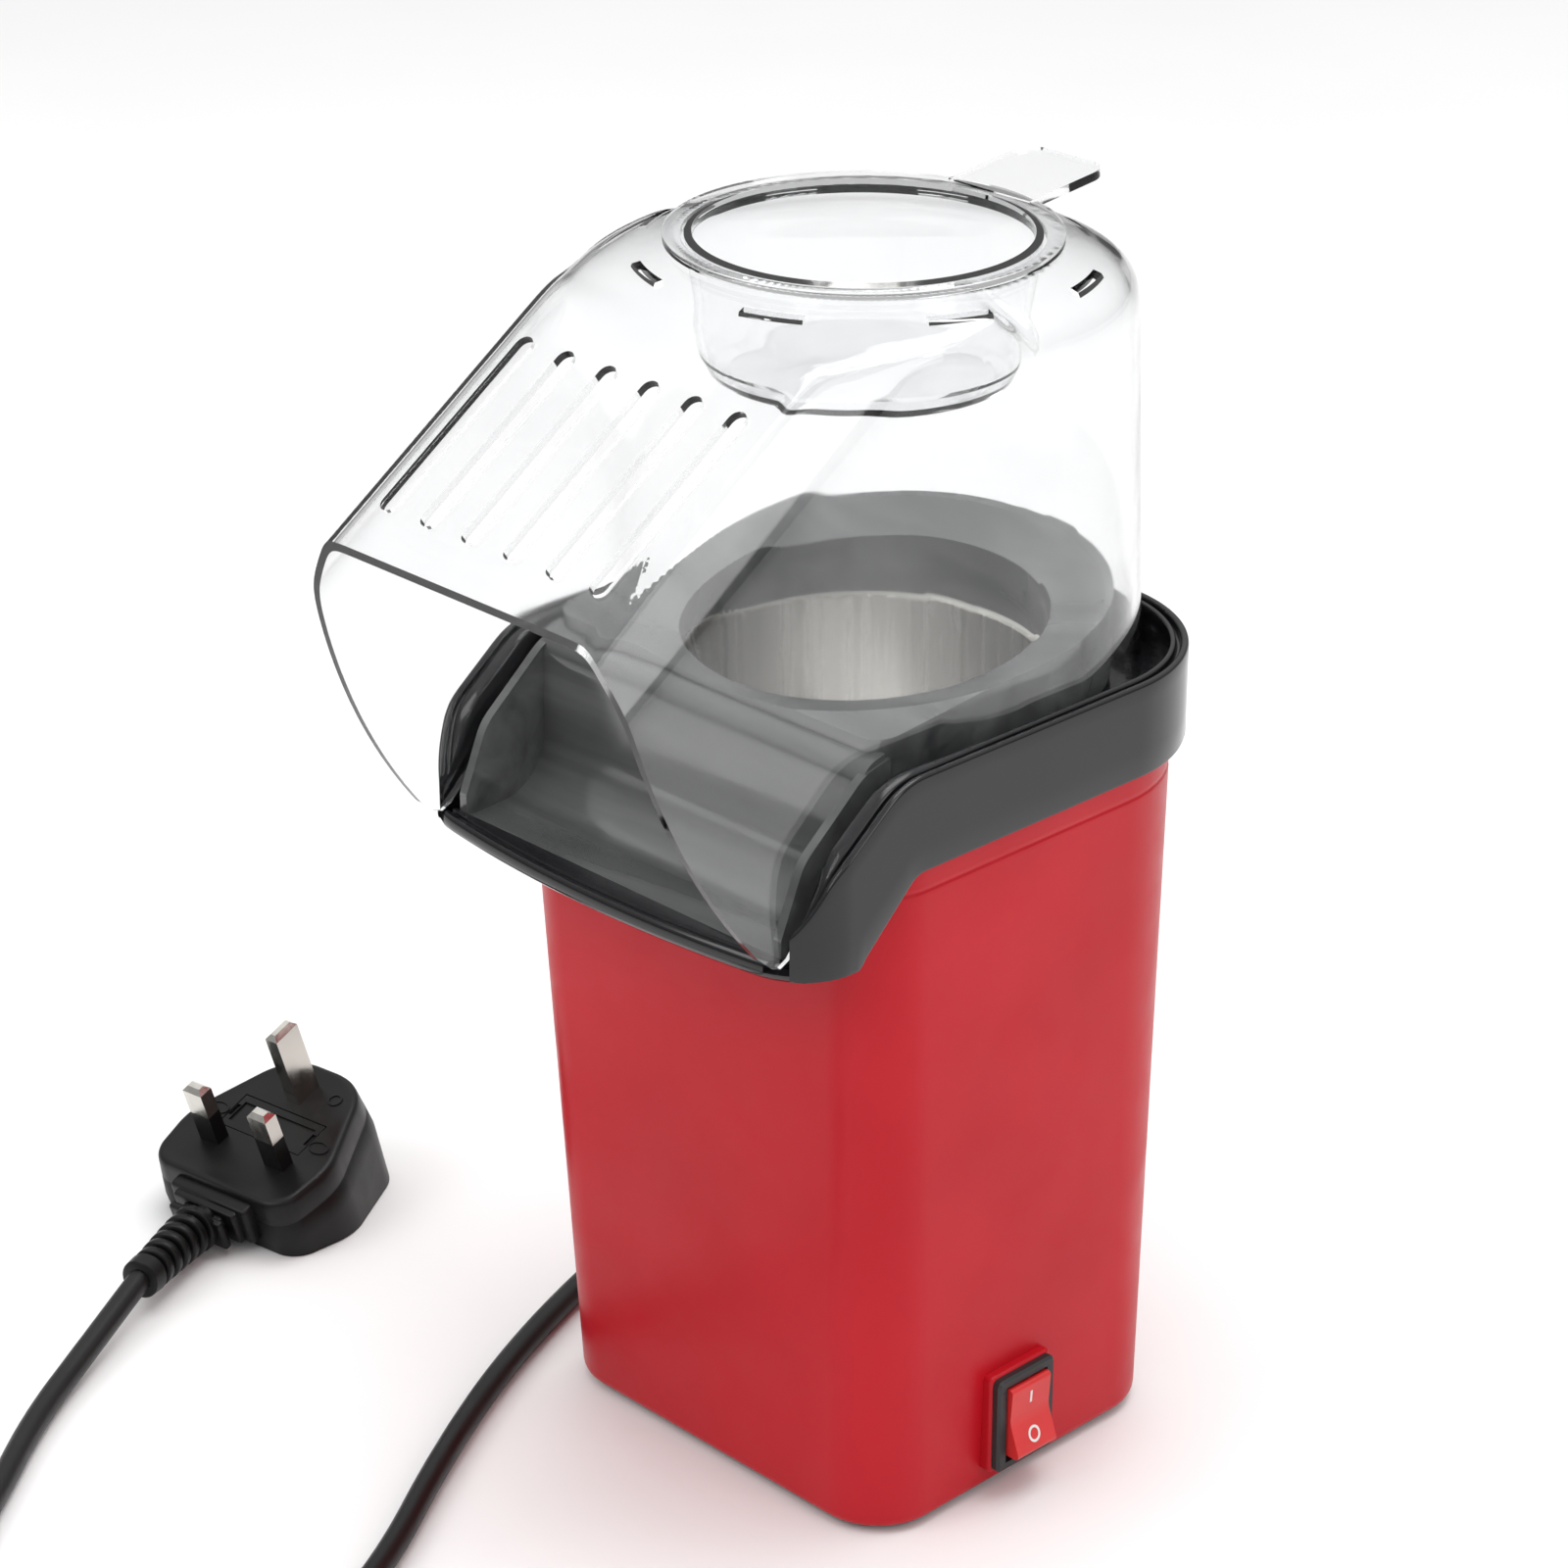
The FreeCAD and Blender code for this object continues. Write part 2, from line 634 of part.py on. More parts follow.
def switch_rocker():
    """Two shallow faces meeting in a valley; at rest its upper end is pressed in."""
    half = ROCKER_SIZE[1] / 2
    points = ((4.8, half), (2.9, 0), (4.8, -half), (-1, -half + 0.8), (-5, -3), (-5, 3), (-1, half - 0.8))
    y0 = SWITCH_Y - ROCKER_SIZE[0] / 2
    corners = [V(PLINTH_X + x, y0, SWITCH_Z + z) for x, z in points]
    radii = (1.0, 6.0, 1.0, 1.0, 1.5, 1.5, 1.0)
    rocker = Part.Face(rounded_wire(corners, radii)).extrude(V(0, ROCKER_SIZE[0], 0))
    rocker = fuse([rocker, switch_pivot(TRUNNION_R, 7.3)])
    return spun(rocker, -ROCKER_TILT_DEG, V(PLINTH_X - TRUNNION_IN, SWITCH_Y, SWITCH_Z), V(0, 1, 0))


def switch_terminals():
    blades = []
    for dz in (-6.5, 0, 6.5):
        z = SWITCH_Z + dz
        blades.append(box((29, SWITCH_Y - 2.4, z - 0.4), (36, SWITCH_Y + 2.4, z + 0.4)))
    return blades


def cord_bushing():
    """Flanged grommet through the shell's rear wall with a tapered tail."""
    along = V(0, 1, 0)
    at = V(EXIT_X, 0, EXIT_Z)
    inner = Part.makeCylinder(6.5, 2.0, at.add(along * 44.5), along)
    neck = Part.makeCylinder(4.8, 5.0, at.add(along * 46), along)
    outer = Part.makeCylinder(7.0, 2.2, at.add(along * 49.6), along)
    tail = Part.makeCone(5.6, 3.9, BUSHING_END - 50, at.add(along * 50), along)
    bushing = fuse([inner, neck, outer, tail])
    for k in range(5):
        y = 55 + k * 4.2
        ring = Part.makeCylinder(9, 1.4, at.add(along * y), along)
        ring = ring.cut(Part.makeCylinder(5.0 - k * 0.32 - 0.8, 1.4, at.add(along * y), along))
        bushing = bushing.cut(ring)
    return bushing


def terminal_block():
    low = BASE_Z + BASE_THICK
    block = box((-11, 27, low), (11, 36, low + 9))
    for x in (-6.5, 0, 6.5):
        block = block.cut(cylinder(1.6, low + 5, low + 10, x, 31.5))
    return block


def lead_wire(points):
    corners = [V(*p) for p in points]
    radii = [0] + [4.0] * (len(points) - 2) + [0]
    return swept(corners, radii, 1.1)


def swept(corners, radii, radius):
    path = rounded_wire(corners, radii, closed=False)
    circle = Part.Circle(corners[0], unit(corners[0], corners[1]), radius).toShape()
    return path.makePipeShell([Part.Wire(circle)], True, False)


def cord_tube(route, name):
    """A round cord along a route: every arc is as large as its two runs allow."""
    corners = [V(*p) for p in route]
    radii = [0.0] * len(corners)
    for i in range(1, len(corners) - 1):
        back = corners[i - 1].sub(corners[i])
        ahead = corners[i + 1].sub(corners[i])
        half_turn = (math.pi - back.getAngle(ahead)) / 2
        radii[i] = 0.45 * min(back.Length, ahead.Length) / math.tan(half_turn)
    path = rounded_wire(corners, radii, closed=False)
    tube = swept(corners, radii, CORD_D / 2)
    section = math.pi * CORD_D**2 / 4
    print(name, "radii", [round(r, 1) for r in radii[1:-1]])
    share = tube.Volume / section / path.Length
    print(name, "length", round(path.Length, 1), "volume share", round(share, 4))
    return tube


def cord_coil():
    """The outer shape of the put-away turns: a low ring."""
    r = COIL_MEAN_R
    half = CORD_D + 0.3
    points = (
        (r - half, 0),
        (r + half, 0),
        (r + half, 5.0),
        (r + 3.5, 11.6),
        (r - 3.5, 11.6),
        (r - half, 5.0),
    )
    ring = turned(points)
    ring.translate(COIL_CENTRE)
    return ring


def on_plug(shape):
    """Moves a shape from the plug's own frame (pins along +Z) to where the plug lies."""
    placed = shape.copy()
    placed.rotate(CENTRE, V(1, 0, 0), PLUG_TILT_DEG)
    placed.rotate(CENTRE, UP, PLUG_TURN_DEG)
    placed.translate(PLUG_AT)
    return placed


def plug_outline(w, grow):
    corners = (
        V(-22.5 - grow, -20.5 - grow, w),
        V(22.5 + grow, -20.5 - grow, w),
        V(25.0 + grow, -3.0, w),
        V(12.5 + grow, 25.0 + grow, w),
        V(-12.5 - grow, 25.0 + grow, w),
        V(-25.0 - grow, -3.0, w),
    )
    return rounded_wire(corners, (7, 7, 18, 14, 14, 18))


def plug_body():
    sections = ((0, -1.2), (-1.2, 0), (-13, 1.2), (-44, 0.2))
    slabs = []
    for (w1, g1), (w2, g2) in zip(sections, sections[1:]):
        slabs.append(Part.makeLoft([plug_outline(w1, g1), plug_outline(w2, g2)], True, True))
    body = fuse(slabs)
    body = body.cut(box((-14, -3.2, -1.6), (14, 8.2, 1)))
    for u, v, half_u, half_v in pin_places():
        body = body.cut(box((u - half_u, v - half_v, -10), (u + half_u, v + half_v, 1)))
    return on_plug(body).common(box((-400, -400, 0), (0, 0, 100)))


def pin_places():
    """Pin centres and half sizes in the plug's own frame: live, neutral, earth."""
    return (
        (-PIN_PITCH / 2, POLE_V, 3.175, 1.975),
        (PIN_PITCH / 2, POLE_V, 3.175, 1.975),
        (0, EARTH_V, 1.975, 3.975),
    )


def plug_pins():
    pins = []
    for k, (u, v, half_u, half_v) in enumerate(pin_places()):
        long = EARTH_LONG if k == 2 else PIN_LONG
        pin = box((u - half_u, v - half_v, -9.8), (u + half_u, v + half_v, long))
        tip = [e for e in pin.Edges if min(p.Z for p in e.Vertexes) > long - 0.01]
        pin = pin.makeChamfer(1.2, tip)
        if k < 2:
            outer = box((u - 5, v - 5, -20), (u + 5, v + 5, SLEEVE_LONG))
            core = box((u - half_u + 0.5, v - half_v + 0.5, -20), (u + half_u - 0.5, v + half_v - 0.5, 20))
            pin = pin.cut(outer.cut(core))
        pins.append(on_plug(pin))
    return pins


def plug_sleeves():
    sleeves = []
    for u, v, half_u, half_v in pin_places()[:2]:
        sleeve = box((u - half_u, v - half_v, -9.8), (u + half_u, v + half_v, SLEEVE_LONG))
        core = box((u - half_u + 0.5, v - half_v + 0.5, -20), (u + half_u - 0.5, v + half_v - 0.5, 20))
        sleeves.append(on_plug(sleeve.cut(core)))
    return sleeves


def plug_fuse_cover():
    cover = box((-13.7, -2.9, -1.6), (13.7, 7.9, -0.2))
    cover = cover.cut(box((-12.2, -0.9, -0.7), (12.2, 5.9, 1)))
    notches = [box((side * 13 - 0.6, 0.5, -0.8), (side * 13 + 0.6, 4.5, 1)) for side in (-1, 1)]
    return on_plug(cover.cut(notches))


def plug_relief():
    """Ribbed strain relief that bends from the plug's end to the cord."""
    first, knee, last = RELIEF_ROUTE
    stations = []
    for k in range(RELIEF_RIBS + 1):
        t = k / RELIEF_RIBS
        along = first * (1 - t) ** 2 + knee * (2 * t * (1 - t)) + last * t**2
        way = unit(CENTRE, (knee - first) * (1 - t) + (last - knee) * t)
        stations.append((along, way, 6.9 - 1.7 * t))
    pieces = []
    for (start, _, radius), (end, _, _) in zip(stations, stations[1:]):
        step = end.sub(start)
        pieces.append(Part.makeCylinder(radius - 1.7, step.Length, start, step))
        pieces.append(Part.makeSphere(radius - 1.55, end))
    for start, way, radius in stations[:-1]:
        pieces.append(Part.makeCylinder(radius, 3.2, start, way))
    end, way, radius = stations[-1]
    pieces.append(Part.makeCylinder(radius - 0.2, 4.0, end.sub(way * 4.0), way))
    yoke = box((-11.5, -25.0, -12.5), (11.5, -19.0, -4.0)).fuse(box((-9, -28, -11.5), (9, -24, -5)))
    pieces.append(on_plug(yoke))
    shape = fuse(pieces).cut(on_plug(box((-60, -21.6, -60), (60, 60, 60))))
    return shape.common(box((-400, -400, 0), (0, 0, 100)))


def hood_front(inset):
    """The slanted front's prism, drawn in by inset and open past the mouth."""
    slope = (FRONT_Z1 - FRONT_Z2) / (FRONT_Y1 - FRONT_Y2)
    sections = []
    for y in (FRONT_BACK_Y, FRONT_Y2 - 8):
        top = FRONT_Z1 + slope * (y - FRONT_Y1) - inset * 1.2
        shoulder = top - FRONT_SHOULDER_DROP
        outline = (
            (-FRONT_BASE_HALF + inset, 140),
            (FRONT_BASE_HALF - inset, 140),
            (FRONT_SHOULDER_HALF - inset, shoulder),
            (FRONT_HALF - inset * 0.6, top),
            (-FRONT_HALF + inset * 0.6, top),
            (-FRONT_SHOULDER_HALF + inset, shoulder),
        )
        sections.append(rounded_wire([V(x, y, z) for x, z in outline], (0, 0, 8, 3, 3, 8)))
    prism = Part.makeLoft(sections, True, True)
    return prism.common(box((-100, -200, 100), (100, 100, HOOD_TOP - 5 - inset)))


def hood_dome(inset):
    shoulder = HOOD_SHOULDER_Z
    wall = loft(HOOD_DOME_PLAN, 140, HOOD_SHOULDER_PLAN, shoulder, -inset)
    reach = 56.8 - inset
    top = HOOD_TOP - inset
    cap = turned(
        (
            (0, shoulder),
            (reach, shoulder),
            (reach - 0.8, shoulder + 2.8),
            (reach - 2.6, shoulder + 5.0 - inset * 0.5),
            (reach - 6.0, shoulder + 6.4 - inset),
            (HOOD_OPENING_R + 2, top),
            (0, top),
        )
    )
    cap.translate(V(0, 0.9, 0))
    return wall.fuse(cap)


def hood():
    outside = fuse([hood_dome(0), hood_front(0)])
    inside = fuse([hood_dome(HOOD_WALL), hood_front(HOOD_WALL)])
    shape = outside.cut(inside)
    under = ((80, HOOD_BOTTOM), HOOD_STEP, HOOD_TOE, MOUTH_END, (-130, 150), (-130, 100), (80, 100))
    below = side_prism(under, -90, 90)
    mouth_top = V(-90, FRONT_Y2, FRONT_Z2)
    mouth_end = V(-90, MOUTH_END[0], MOUTH_END[1])
    mouth = Part.Wire(
        [
            Part.Arc(mouth_top, V(-90, MOUTH_MIDDLE[0], MOUTH_MIDDLE[1]), mouth_end).toShape(),
            Part.makeLine(mouth_end, V(-90, -150, 140)),
            Part.makeLine(V(-90, -150, 140), V(-90, -150, 250)),
            Part.makeLine(V(-90, -150, 250), mouth_top),
        ]
    )
    shape = shape.cut(below).cut(Part.Face(mouth).extrude(V(180, 0, 0)))
    shape = shape.cut(cylinder(HOOD_OPENING_R, 200, 300, 0, -1.0))
    slope_deg = math.degrees(math.atan2(FRONT_Z1 - FRONT_Z2, FRONT_Y1 - FRONT_Y2))
    cutters = []
    for k in range(SLOT_COUNT):
        x = (k - (SLOT_COUNT - 1) / 2) * SLOT_PITCH
        half = SLOT_WIDTH / 2
        slot = box((x - half, -SLOT_END + half, -6), (x + half, -SLOT_START - half, 6))
        ends = [cylinder(half, -6, 6, x, y) for y in (-SLOT_END + half, -SLOT_START - half)]
        slot = fuse([slot] + ends)
        slot.rotate(CENTRE, V(1, 0, 0), slope_deg)
        slot.translate(V(0, FRONT_Y1, FRONT_Z1))
        cutters.append(slot)
    for k in range(VENT_COUNT):
        ring = tube_between(VENT_RADIUS + VENT_WIDTH / 2, VENT_RADIUS - VENT_WIDTH / 2, 268, 290)
        start = k * 360 / VENT_COUNT + 14
        wedge = Part.makeCylinder(70, 30, V(0, 0, 265), UP, VENT_ARC_DEG)
        cutters.append(ring.common(spun(wedge, start)))
    return shape.cut(cutters)


def measuring_cup():
    rim_low = HOOD_TOP + CUP_LIFT
    rim_top = rim_low + CUP_RIM_THICK
    low = rim_top - CUP_DEPTH
    wall = CUP_WALL
    cup = turned(
        (
            (0, low),
            (CUP_BOTTOM_R - 6, low),
            (CUP_BOTTOM_R - 2, low + 1.6),
            (CUP_BOTTOM_R, low + 5.5),
            (CUP_TOP_R, rim_low),
            (CUP_RIM_R, rim_low),
            (CUP_RIM_R, rim_top),
            (CUP_TOP_R - wall, rim_top),
            (CUP_BOTTOM_R - wall, low + 6),
            (CUP_BOTTOM_R - 3.2, low + 3.0),
            (CUP_BOTTOM_R - 6.6, low + wall),
            (0, low + wall),
        )
    )
    tab = box((-TAB_WIDTH / 2, CUP_RIM_R - 4, 0), (TAB_WIDTH / 2, TAB_REACH, TAB_THICK))
    ends = [e for e in tab.Edges if abs(e.tangentAt(e.FirstParameter).z) > 0.9 and e.Vertexes[0].Y > 50]
    tab = tab.makeFillet(5.0, ends)
    tab.rotate(V(0, CUP_RIM_R - 4, 0), V(1, 0, 0), TAB_SLOPE_DEG)
    tab.translate(V(0, 0, rim_low))
    tab = tab.cut(cylinder(CUP_TOP_R - wall, 200, 300))
    cup = fuse([cup, tab])
    cup.translate(V(0, -1.0, 0))
    return cup


def main():
    save(body_shell(), "body_shell")
    save(base_plate(), "base_plate")
    for name, x, y in (
        ("foot_front_left", -38, -32),
        ("foot_front_right", 38, -32),
        ("foot_rear_left", -38, 33),
        ("foot_rear_right", 38, 33),
    ):
        save(foot(x, y), name)
    base_screws = []
    for x, y in (BOSS_FRONT, BOSS_REAR):
        for side in (-1, 1):
            base_screws.append(screw(side * x, y, BASE_Z, 13))
    save(base_screws, "base_screws")
    save(collar(), "collar")
    save(funnel_bowl(), "funnel_bowl")
    save(chute(), "chute")
    save(popping_chamber(), "popping_chamber")
    save(chamber_gasket(), "chamber_gasket")
    save(air_duct(), "air_duct")
    save(fan_shroud(), "fan_shroud")
    posts = [(x, y) for x in (-POST_AT, POST_AT) for y in (-POST_AT, POST_AT)]
    save([screw(x, y, SHROUD_FLOOR + 2, 9, up=False) for x, y in posts], "shroud_screws")
    save(heater_frame(), "heater_frame")
    save(heater_rings(HEATER_WIRE_R), "heater_coil")
    save(Part.makeCylinder(8, 5.0, V(-DUCT_R + 0.4, 0, 120), V(-1, 0, 0)), "thermostat")
    save(cylinder(2, 118, 132, 0, DUCT_R + 1.9), "thermal_fuse")
    save(motor_can(), "motor_can")
    save(motor_bushes(), "motor_bushes")
    save(motor_magnets(), "motor_magnets")
    save([screw(0, y, SHROUD_FLOOR + 2, 3.4, up=False) for y in (-8.5, 8.5)], "motor_screws")
    save(armature(), "motor_armature")
    save(motor_shaft(), "motor_shaft")
    save(impeller(), "impeller")
    save(rectifier_board(), "rectifier_board")
    save(rectifier_diodes(), "rectifier_diodes")
    save(switch_housing(), "switch_housing")
    save(switch_rocker(), "switch_rocker")
    save(switch_terminals(), "switch_terminals")
    save(cord_bushing(), "cord_bushing")
    save(terminal_block(), "terminal_block")
    save(lead_wire(((-27.5, 44.5, 14), (-20, 41, 13), (-8, 40, 10), (-6.5, 36, 9.5))), "wire_live")
    save(lead_wire(((-32.5, 44.5, 14), (-38, 34, 14), (-40, 20, 16), (-40, 12, 14))), "wire_neutral")
    to_switch = ((6.5, 36, 9.5), (11, 43, 12), (29, 42, 16), (37, 22, 19.5), (32, 2, 19.5))
    save(lead_wire(to_switch), "wire_switch")
    whole_hood = hood()
    save(whole_hood.common(box((-90, HOOD_SPLIT_Y, 100), (90, 90, 300))), "hood_dome")
    save(whole_hood.common(box((-90, -150, 100), (90, HOOD_SPLIT_Y, 300))), "hood_front")
    save(measuring_cup(), "measuring_cup")
    save(cord_tube(LEAD_ROUTE, "cord_lead"), "cord_lead")
    save(cord_coil(), "cord_coil")
    save(cord_tube(TAIL_ROUTE, "cord_tail"), "cord_tail")
    save(plug_body(), "plug_body")
    save(plug_pins(), "plug_pins")
    save(plug_sleeves(), "plug_pin_sleeves")
    save(plug_fuse_cover(), "plug_fuse_cover")
    save(plug_relief(), "plug_relief")


main()
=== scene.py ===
import json
import math

import bmesh
import bpy
import numpy as np
from mathutils import Matrix, Vector


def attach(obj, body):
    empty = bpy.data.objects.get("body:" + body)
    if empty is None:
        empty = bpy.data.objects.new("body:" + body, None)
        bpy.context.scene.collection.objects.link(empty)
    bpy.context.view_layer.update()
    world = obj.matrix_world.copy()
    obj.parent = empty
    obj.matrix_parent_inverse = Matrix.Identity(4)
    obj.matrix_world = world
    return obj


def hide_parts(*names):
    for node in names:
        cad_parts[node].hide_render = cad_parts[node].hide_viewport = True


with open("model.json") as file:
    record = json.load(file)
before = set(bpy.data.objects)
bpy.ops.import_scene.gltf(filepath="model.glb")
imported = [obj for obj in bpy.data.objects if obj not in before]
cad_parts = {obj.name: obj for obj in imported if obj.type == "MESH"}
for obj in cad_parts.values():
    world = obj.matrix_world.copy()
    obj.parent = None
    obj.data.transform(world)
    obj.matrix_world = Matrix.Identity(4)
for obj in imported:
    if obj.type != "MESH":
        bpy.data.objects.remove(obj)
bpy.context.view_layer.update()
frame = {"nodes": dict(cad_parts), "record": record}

# Lengths are in millimetres from the popping chamber's axis at floor level, as in the part's
# own drawings; at() turns them into metres in the frame, whose origin lies in front of that axis.
MM = 0.001
AXIS_Y = 26.7


def at(x, y, z):
    return Vector((x, y + AXIS_Y, z)) * MM


# ---------------------------------------------------------------- camera and cord

CAMERA_AT = at(619.8, -628.0, 560.6)
CAMERA_LOOK = Vector((-0.6509, 0.6339, -0.4176))
CAMERA_LENS = 100.1

CORD_D = 6.0
# The CAD lead's route from the bushing to the coil.
LEAD_ROUTE = (
    (-30, 76, 15),
    (-31, 96, 12.5),
    (-44, 116, 6),
    (-66, 124.5, 3),
    (-89, 117, 3),
    (-102.5, 97, 3),
    (-104, 72, 3),
    (-95, 39, 3),
    (-82, 3, 3),
    (-71, -31, 3),
    (-57, -64, 3),
    (-38, -98, 3),
    (-15, -133, 3),
    (1, -171, 3),
)
# From the coil to the relief. The last four points lie up to 9.5 mm from the CAD tail's, so that the
# cord leaves the plug nearly straight; the relief follows them.
TAIL_ROUTE = (
    (-58.3, -229.5, 8.2),
    (-78, -205, 4),
    (-96, -180, 3),
    (-117, -154, 3),
    (-131, -129, 4.5),
    (-143.5, -103.5, 8.3),
)
COIL_X, COIL_Y = -31.0, -211.0
COIL_TURNS = 2.405
COIL_POINTS_PER_TURN = 16
COIL_OUTER_R = 36.0
COIL_STEP = 6.0
COIL_LIFT = 5.2
# The share of its control points' radius that a NURBS ring of order 3 is taken to have.
NURBS_CUT_IN = 0.985


def add_camera():
    data = bpy.data.cameras.new("camera")
    data.lens = CAMERA_LENS
    data.sensor_width = 36.0
    data.clip_start = 0.01
    camera = bpy.data.objects.new("camera", data)
    bpy.context.scene.collection.objects.link(camera)
    camera.location = CAMERA_AT
    camera.rotation_euler = CAMERA_LOOK.to_track_quat("-Z", "Y").to_euler()
    bpy.context.scene.camera = camera


def ease(value, low, high):
    """0 below low, 1 above high, and smooth between."""
    t = min(max((value - low) / (high - low), 0.0), 1.0)
    return t * t * (3 - 2 * t)


def coil_points():
    """Turns on the floor, an outer and an inner one, then one lying on the groove between them."""
    points = []
    for k in range(int(COIL_TURNS * COIL_POINTS_PER_TURN)):
        turn = k / COIL_POINTS_PER_TURN
        inward = COIL_STEP * ease(turn, 0.2, 1.05)
        outward = COIL_STEP / 2 * ease(turn, 1.85, 2.1)
        height = CORD_D / 2 + COIL_LIFT * ease(turn, 1.75, 2.05)
        reach = (COIL_OUTER_R - inward + outward) / NURBS_CUT_IN
        angle = -2 * math.pi * turn
        points.append((COIL_X + reach * math.cos(angle), COIL_Y + reach * math.sin(angle), height))
    return points


def nurbs_curve(name, points):
    """A NURBS curve through the scene's frame from points in millimetres from the chamber's axis."""
    data = bpy.data.curves.new(name, "CURVE")
    data.dimensions = "3D"
    spline = data.splines.new("NURBS")
    spline.points.add(len(points) - 1)
    for point, place in zip(spline.points, points):
        point.co = (*at(*place), 1.0)
    spline.order_u = 3
    spline.use_endpoint_u = True
    data.resolution_u = 10
    data.bevel_resolution = 5
    data.use_fill_caps = True
    return bpy.data.objects.new(name, data)


def add_cord():
    """The cord as a tube round its route's NURBS spline, and the spline's line that it follows."""
    route = nurbs_curve("cord_route", list(LEAD_ROUTE) + coil_points() + list(TAIL_ROUTE))
    bare = bpy.data.meshes.new_from_object(route)
    line = [tuple(v.co) for v in bare.vertices]
    route.data.bevel_depth = CORD_D / 2 * MM
    tube = bpy.data.meshes.new_from_object(route)
    bpy.data.meshes.remove(bare)
    bpy.data.curves.remove(route.data)
    cord = bpy.data.objects.new("mains_cord", tube)
    bpy.context.scene.collection.objects.link(cord)
    sharpen(cord, 50.0)
    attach(cord, "root")
    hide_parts("cord_lead", "cord_coil", "cord_tail")
    return cord, line


# ---------------------------------------------------------------- mesh helpers


def mesh_object(name, verts, faces, smooth=True):
    """A mesh piece from points in millimetres from the chamber's axis."""
    mesh = bpy.data.meshes.new(name)
    mesh.from_pydata([at(*v) for v in verts], [], faces)
    mesh.validate()
    if smooth:
        mesh.polygons.foreach_set("use_smooth", [True] * len(mesh.polygons))
    piece = bpy.data.objects.new(name, mesh)
    bpy.context.scene.collection.objects.link(piece)
    return piece


def fix_normals(piece):
    work = bmesh.new()
    work.from_mesh(piece.data)
    bmesh.ops.recalc_face_normals(work, faces=work.faces)
    work.to_mesh(piece.data)
    work.free()


def apply_modifiers(piece):
    bpy.context.view_layer.update()
    shaped = bpy.data.meshes.new_from_object(piece.evaluated_get(bpy.context.evaluated_depsgraph_get()))
    piece.modifiers.clear()
    piece.data = shaped


def sharpen(piece, degrees=32.0):
    """Smooth shading broken where faces meet more steeply than this."""
    work = bmesh.new()
    work.from_mesh(piece.data)
    limit = math.radians(degrees)
    for edge in work.edges:
        if len(edge.link_faces) == 2:
            edge.smooth = edge.calc_face_angle(0.0) < limit
    for face in work.faces:
        face.smooth = True
    work.to_mesh(piece.data)
    work.free()


def lofted(rows, count, closed=False):
    """Quads between neighbouring rows, each a loop of count points; closed joins last to first."""
    faces = []
    for i in range(rows if closed else rows - 1):
        a, b = i * count, (i + 1) % rows * count
        for j in range(count):
            n = (j + 1) % count
            faces.append((a + j, a + n, b + n, b + j))
    return faces


def end_caps(rows, count):
    """Faces that close the first and the last row of a loft."""
    last = (rows - 1) * count
    return [tuple(range(count)), tuple(range(last + count - 1, last - 1, -1))]


def prism_along_x(outline, half):
    """Vertices and faces of a prism along X from (y, z) points."""
    count = len(outline)
    verts = [(-half, y, z) for y, z in outline] + [(half, y, z) for y, z in outline]
    faces = [tuple(range(count)), tuple(range(2 * count - 1, count - 1, -1))]
    for k in range(count):
        n = (k + 1) % count
        faces.append((k, k + count, n + count, n))
    return verts, faces


def stadium(half_width, low, high, steps=8):
    """(x, y) outline of a slot with round ends, from y = low to y = high."""
    points = []
    for k in range(steps + 1):
        angle = math.pi * k / steps
        points.append((half_width * math.cos(angle), high - half_width + half_width * math.sin(angle)))
    for k in range(steps + 1):
        angle = math.pi * k / steps
        points.append((-half_width * math.cos(angle), low + half_width - half_width * math.sin(angle)))
    return points


def prism_between(lower, upper):
    """Vertices and faces of a prism between two outlines of (x, y, z) points."""
    count = len(lower)
    caps = [tuple(range(count - 1, -1, -1)), tuple(range(count, 2 * count))]
    return list(lower) + list(upper), caps + lofted(2, count)


def join_parts(parts):
    """One list of vertices and faces from several."""
    verts, faces = [], []
    for part_verts, part_faces in parts:
        base = len(verts)
        verts += part_verts
        faces += [tuple(base + i for i in face) for face in part_faces]
    return verts, faces


# ---------------------------------------------------------------- hood

HOOD_WALL = 1.8
SKIN_SLACK = 0.2
HOOD_BOTTOM = 182.8
HOOD_TOP = 282.0
HOOD_OPENING_R = 38.7
PANEL_LOW = (-116.2, 234.6)
PANEL_HIGH = (-57.6, 274.0)
MOUTH_MIDDLE = (-105.1, 195.4)
MOUTH_END = (-84.0, 160.5)
SLOT_COUNT = 6
SLOT_PITCH = 12.75
SLOT_HALF = 2.2
SLOT_REACH = (11.0, 60.0)
VENT_COUNT = 8
VENT_R = 49.6
VENT_HALF = 0.9
VENT_FIRST_DEG = 14.0
VENT_ARC_DEG = 16.0
VENT_STEPS = 12
# The point inside the hood from which rays meet both skins, and how far they may run.
HOOD_EYE = np.array((0.0, -30.0, 215.0))
RAY_LONG = 160.0
RAY_HALVINGS = 34
GRADIENT_STEP = 0.4
PANEL_SLOPE = (PANEL_HIGH[1] - PANEL_LOW[1]) / (PANEL_HIGH[0] - PANEL_LOW[0])
# The dome's walls taper from FOOT_Z upwards; each pair is a length there and its growth over TAPER_TALL.
FOOT_Z = 140
TAPER_TALL = 132
DOME_HALF = (56.0, 0.8)
DOME_REAR = (58.2, -0.4)
DOME_CORNER = (44.0, 11.8)
DOME_FRONT = -56.0
CROWN_R = 40.7
CROWN_SLOPE = 0.356
# The front part: how far the shoulder lies below the panel, and the half widths at foot and shoulder.
SHOULDER_DROP = 15.0
FRONT_HALF = 55.0
SHOULDER_HALF = 48.7
FRONT_TOP = 276.5
FRONT_BACK_Y = -14.0
FRONT_NOSE_Y = -130.0
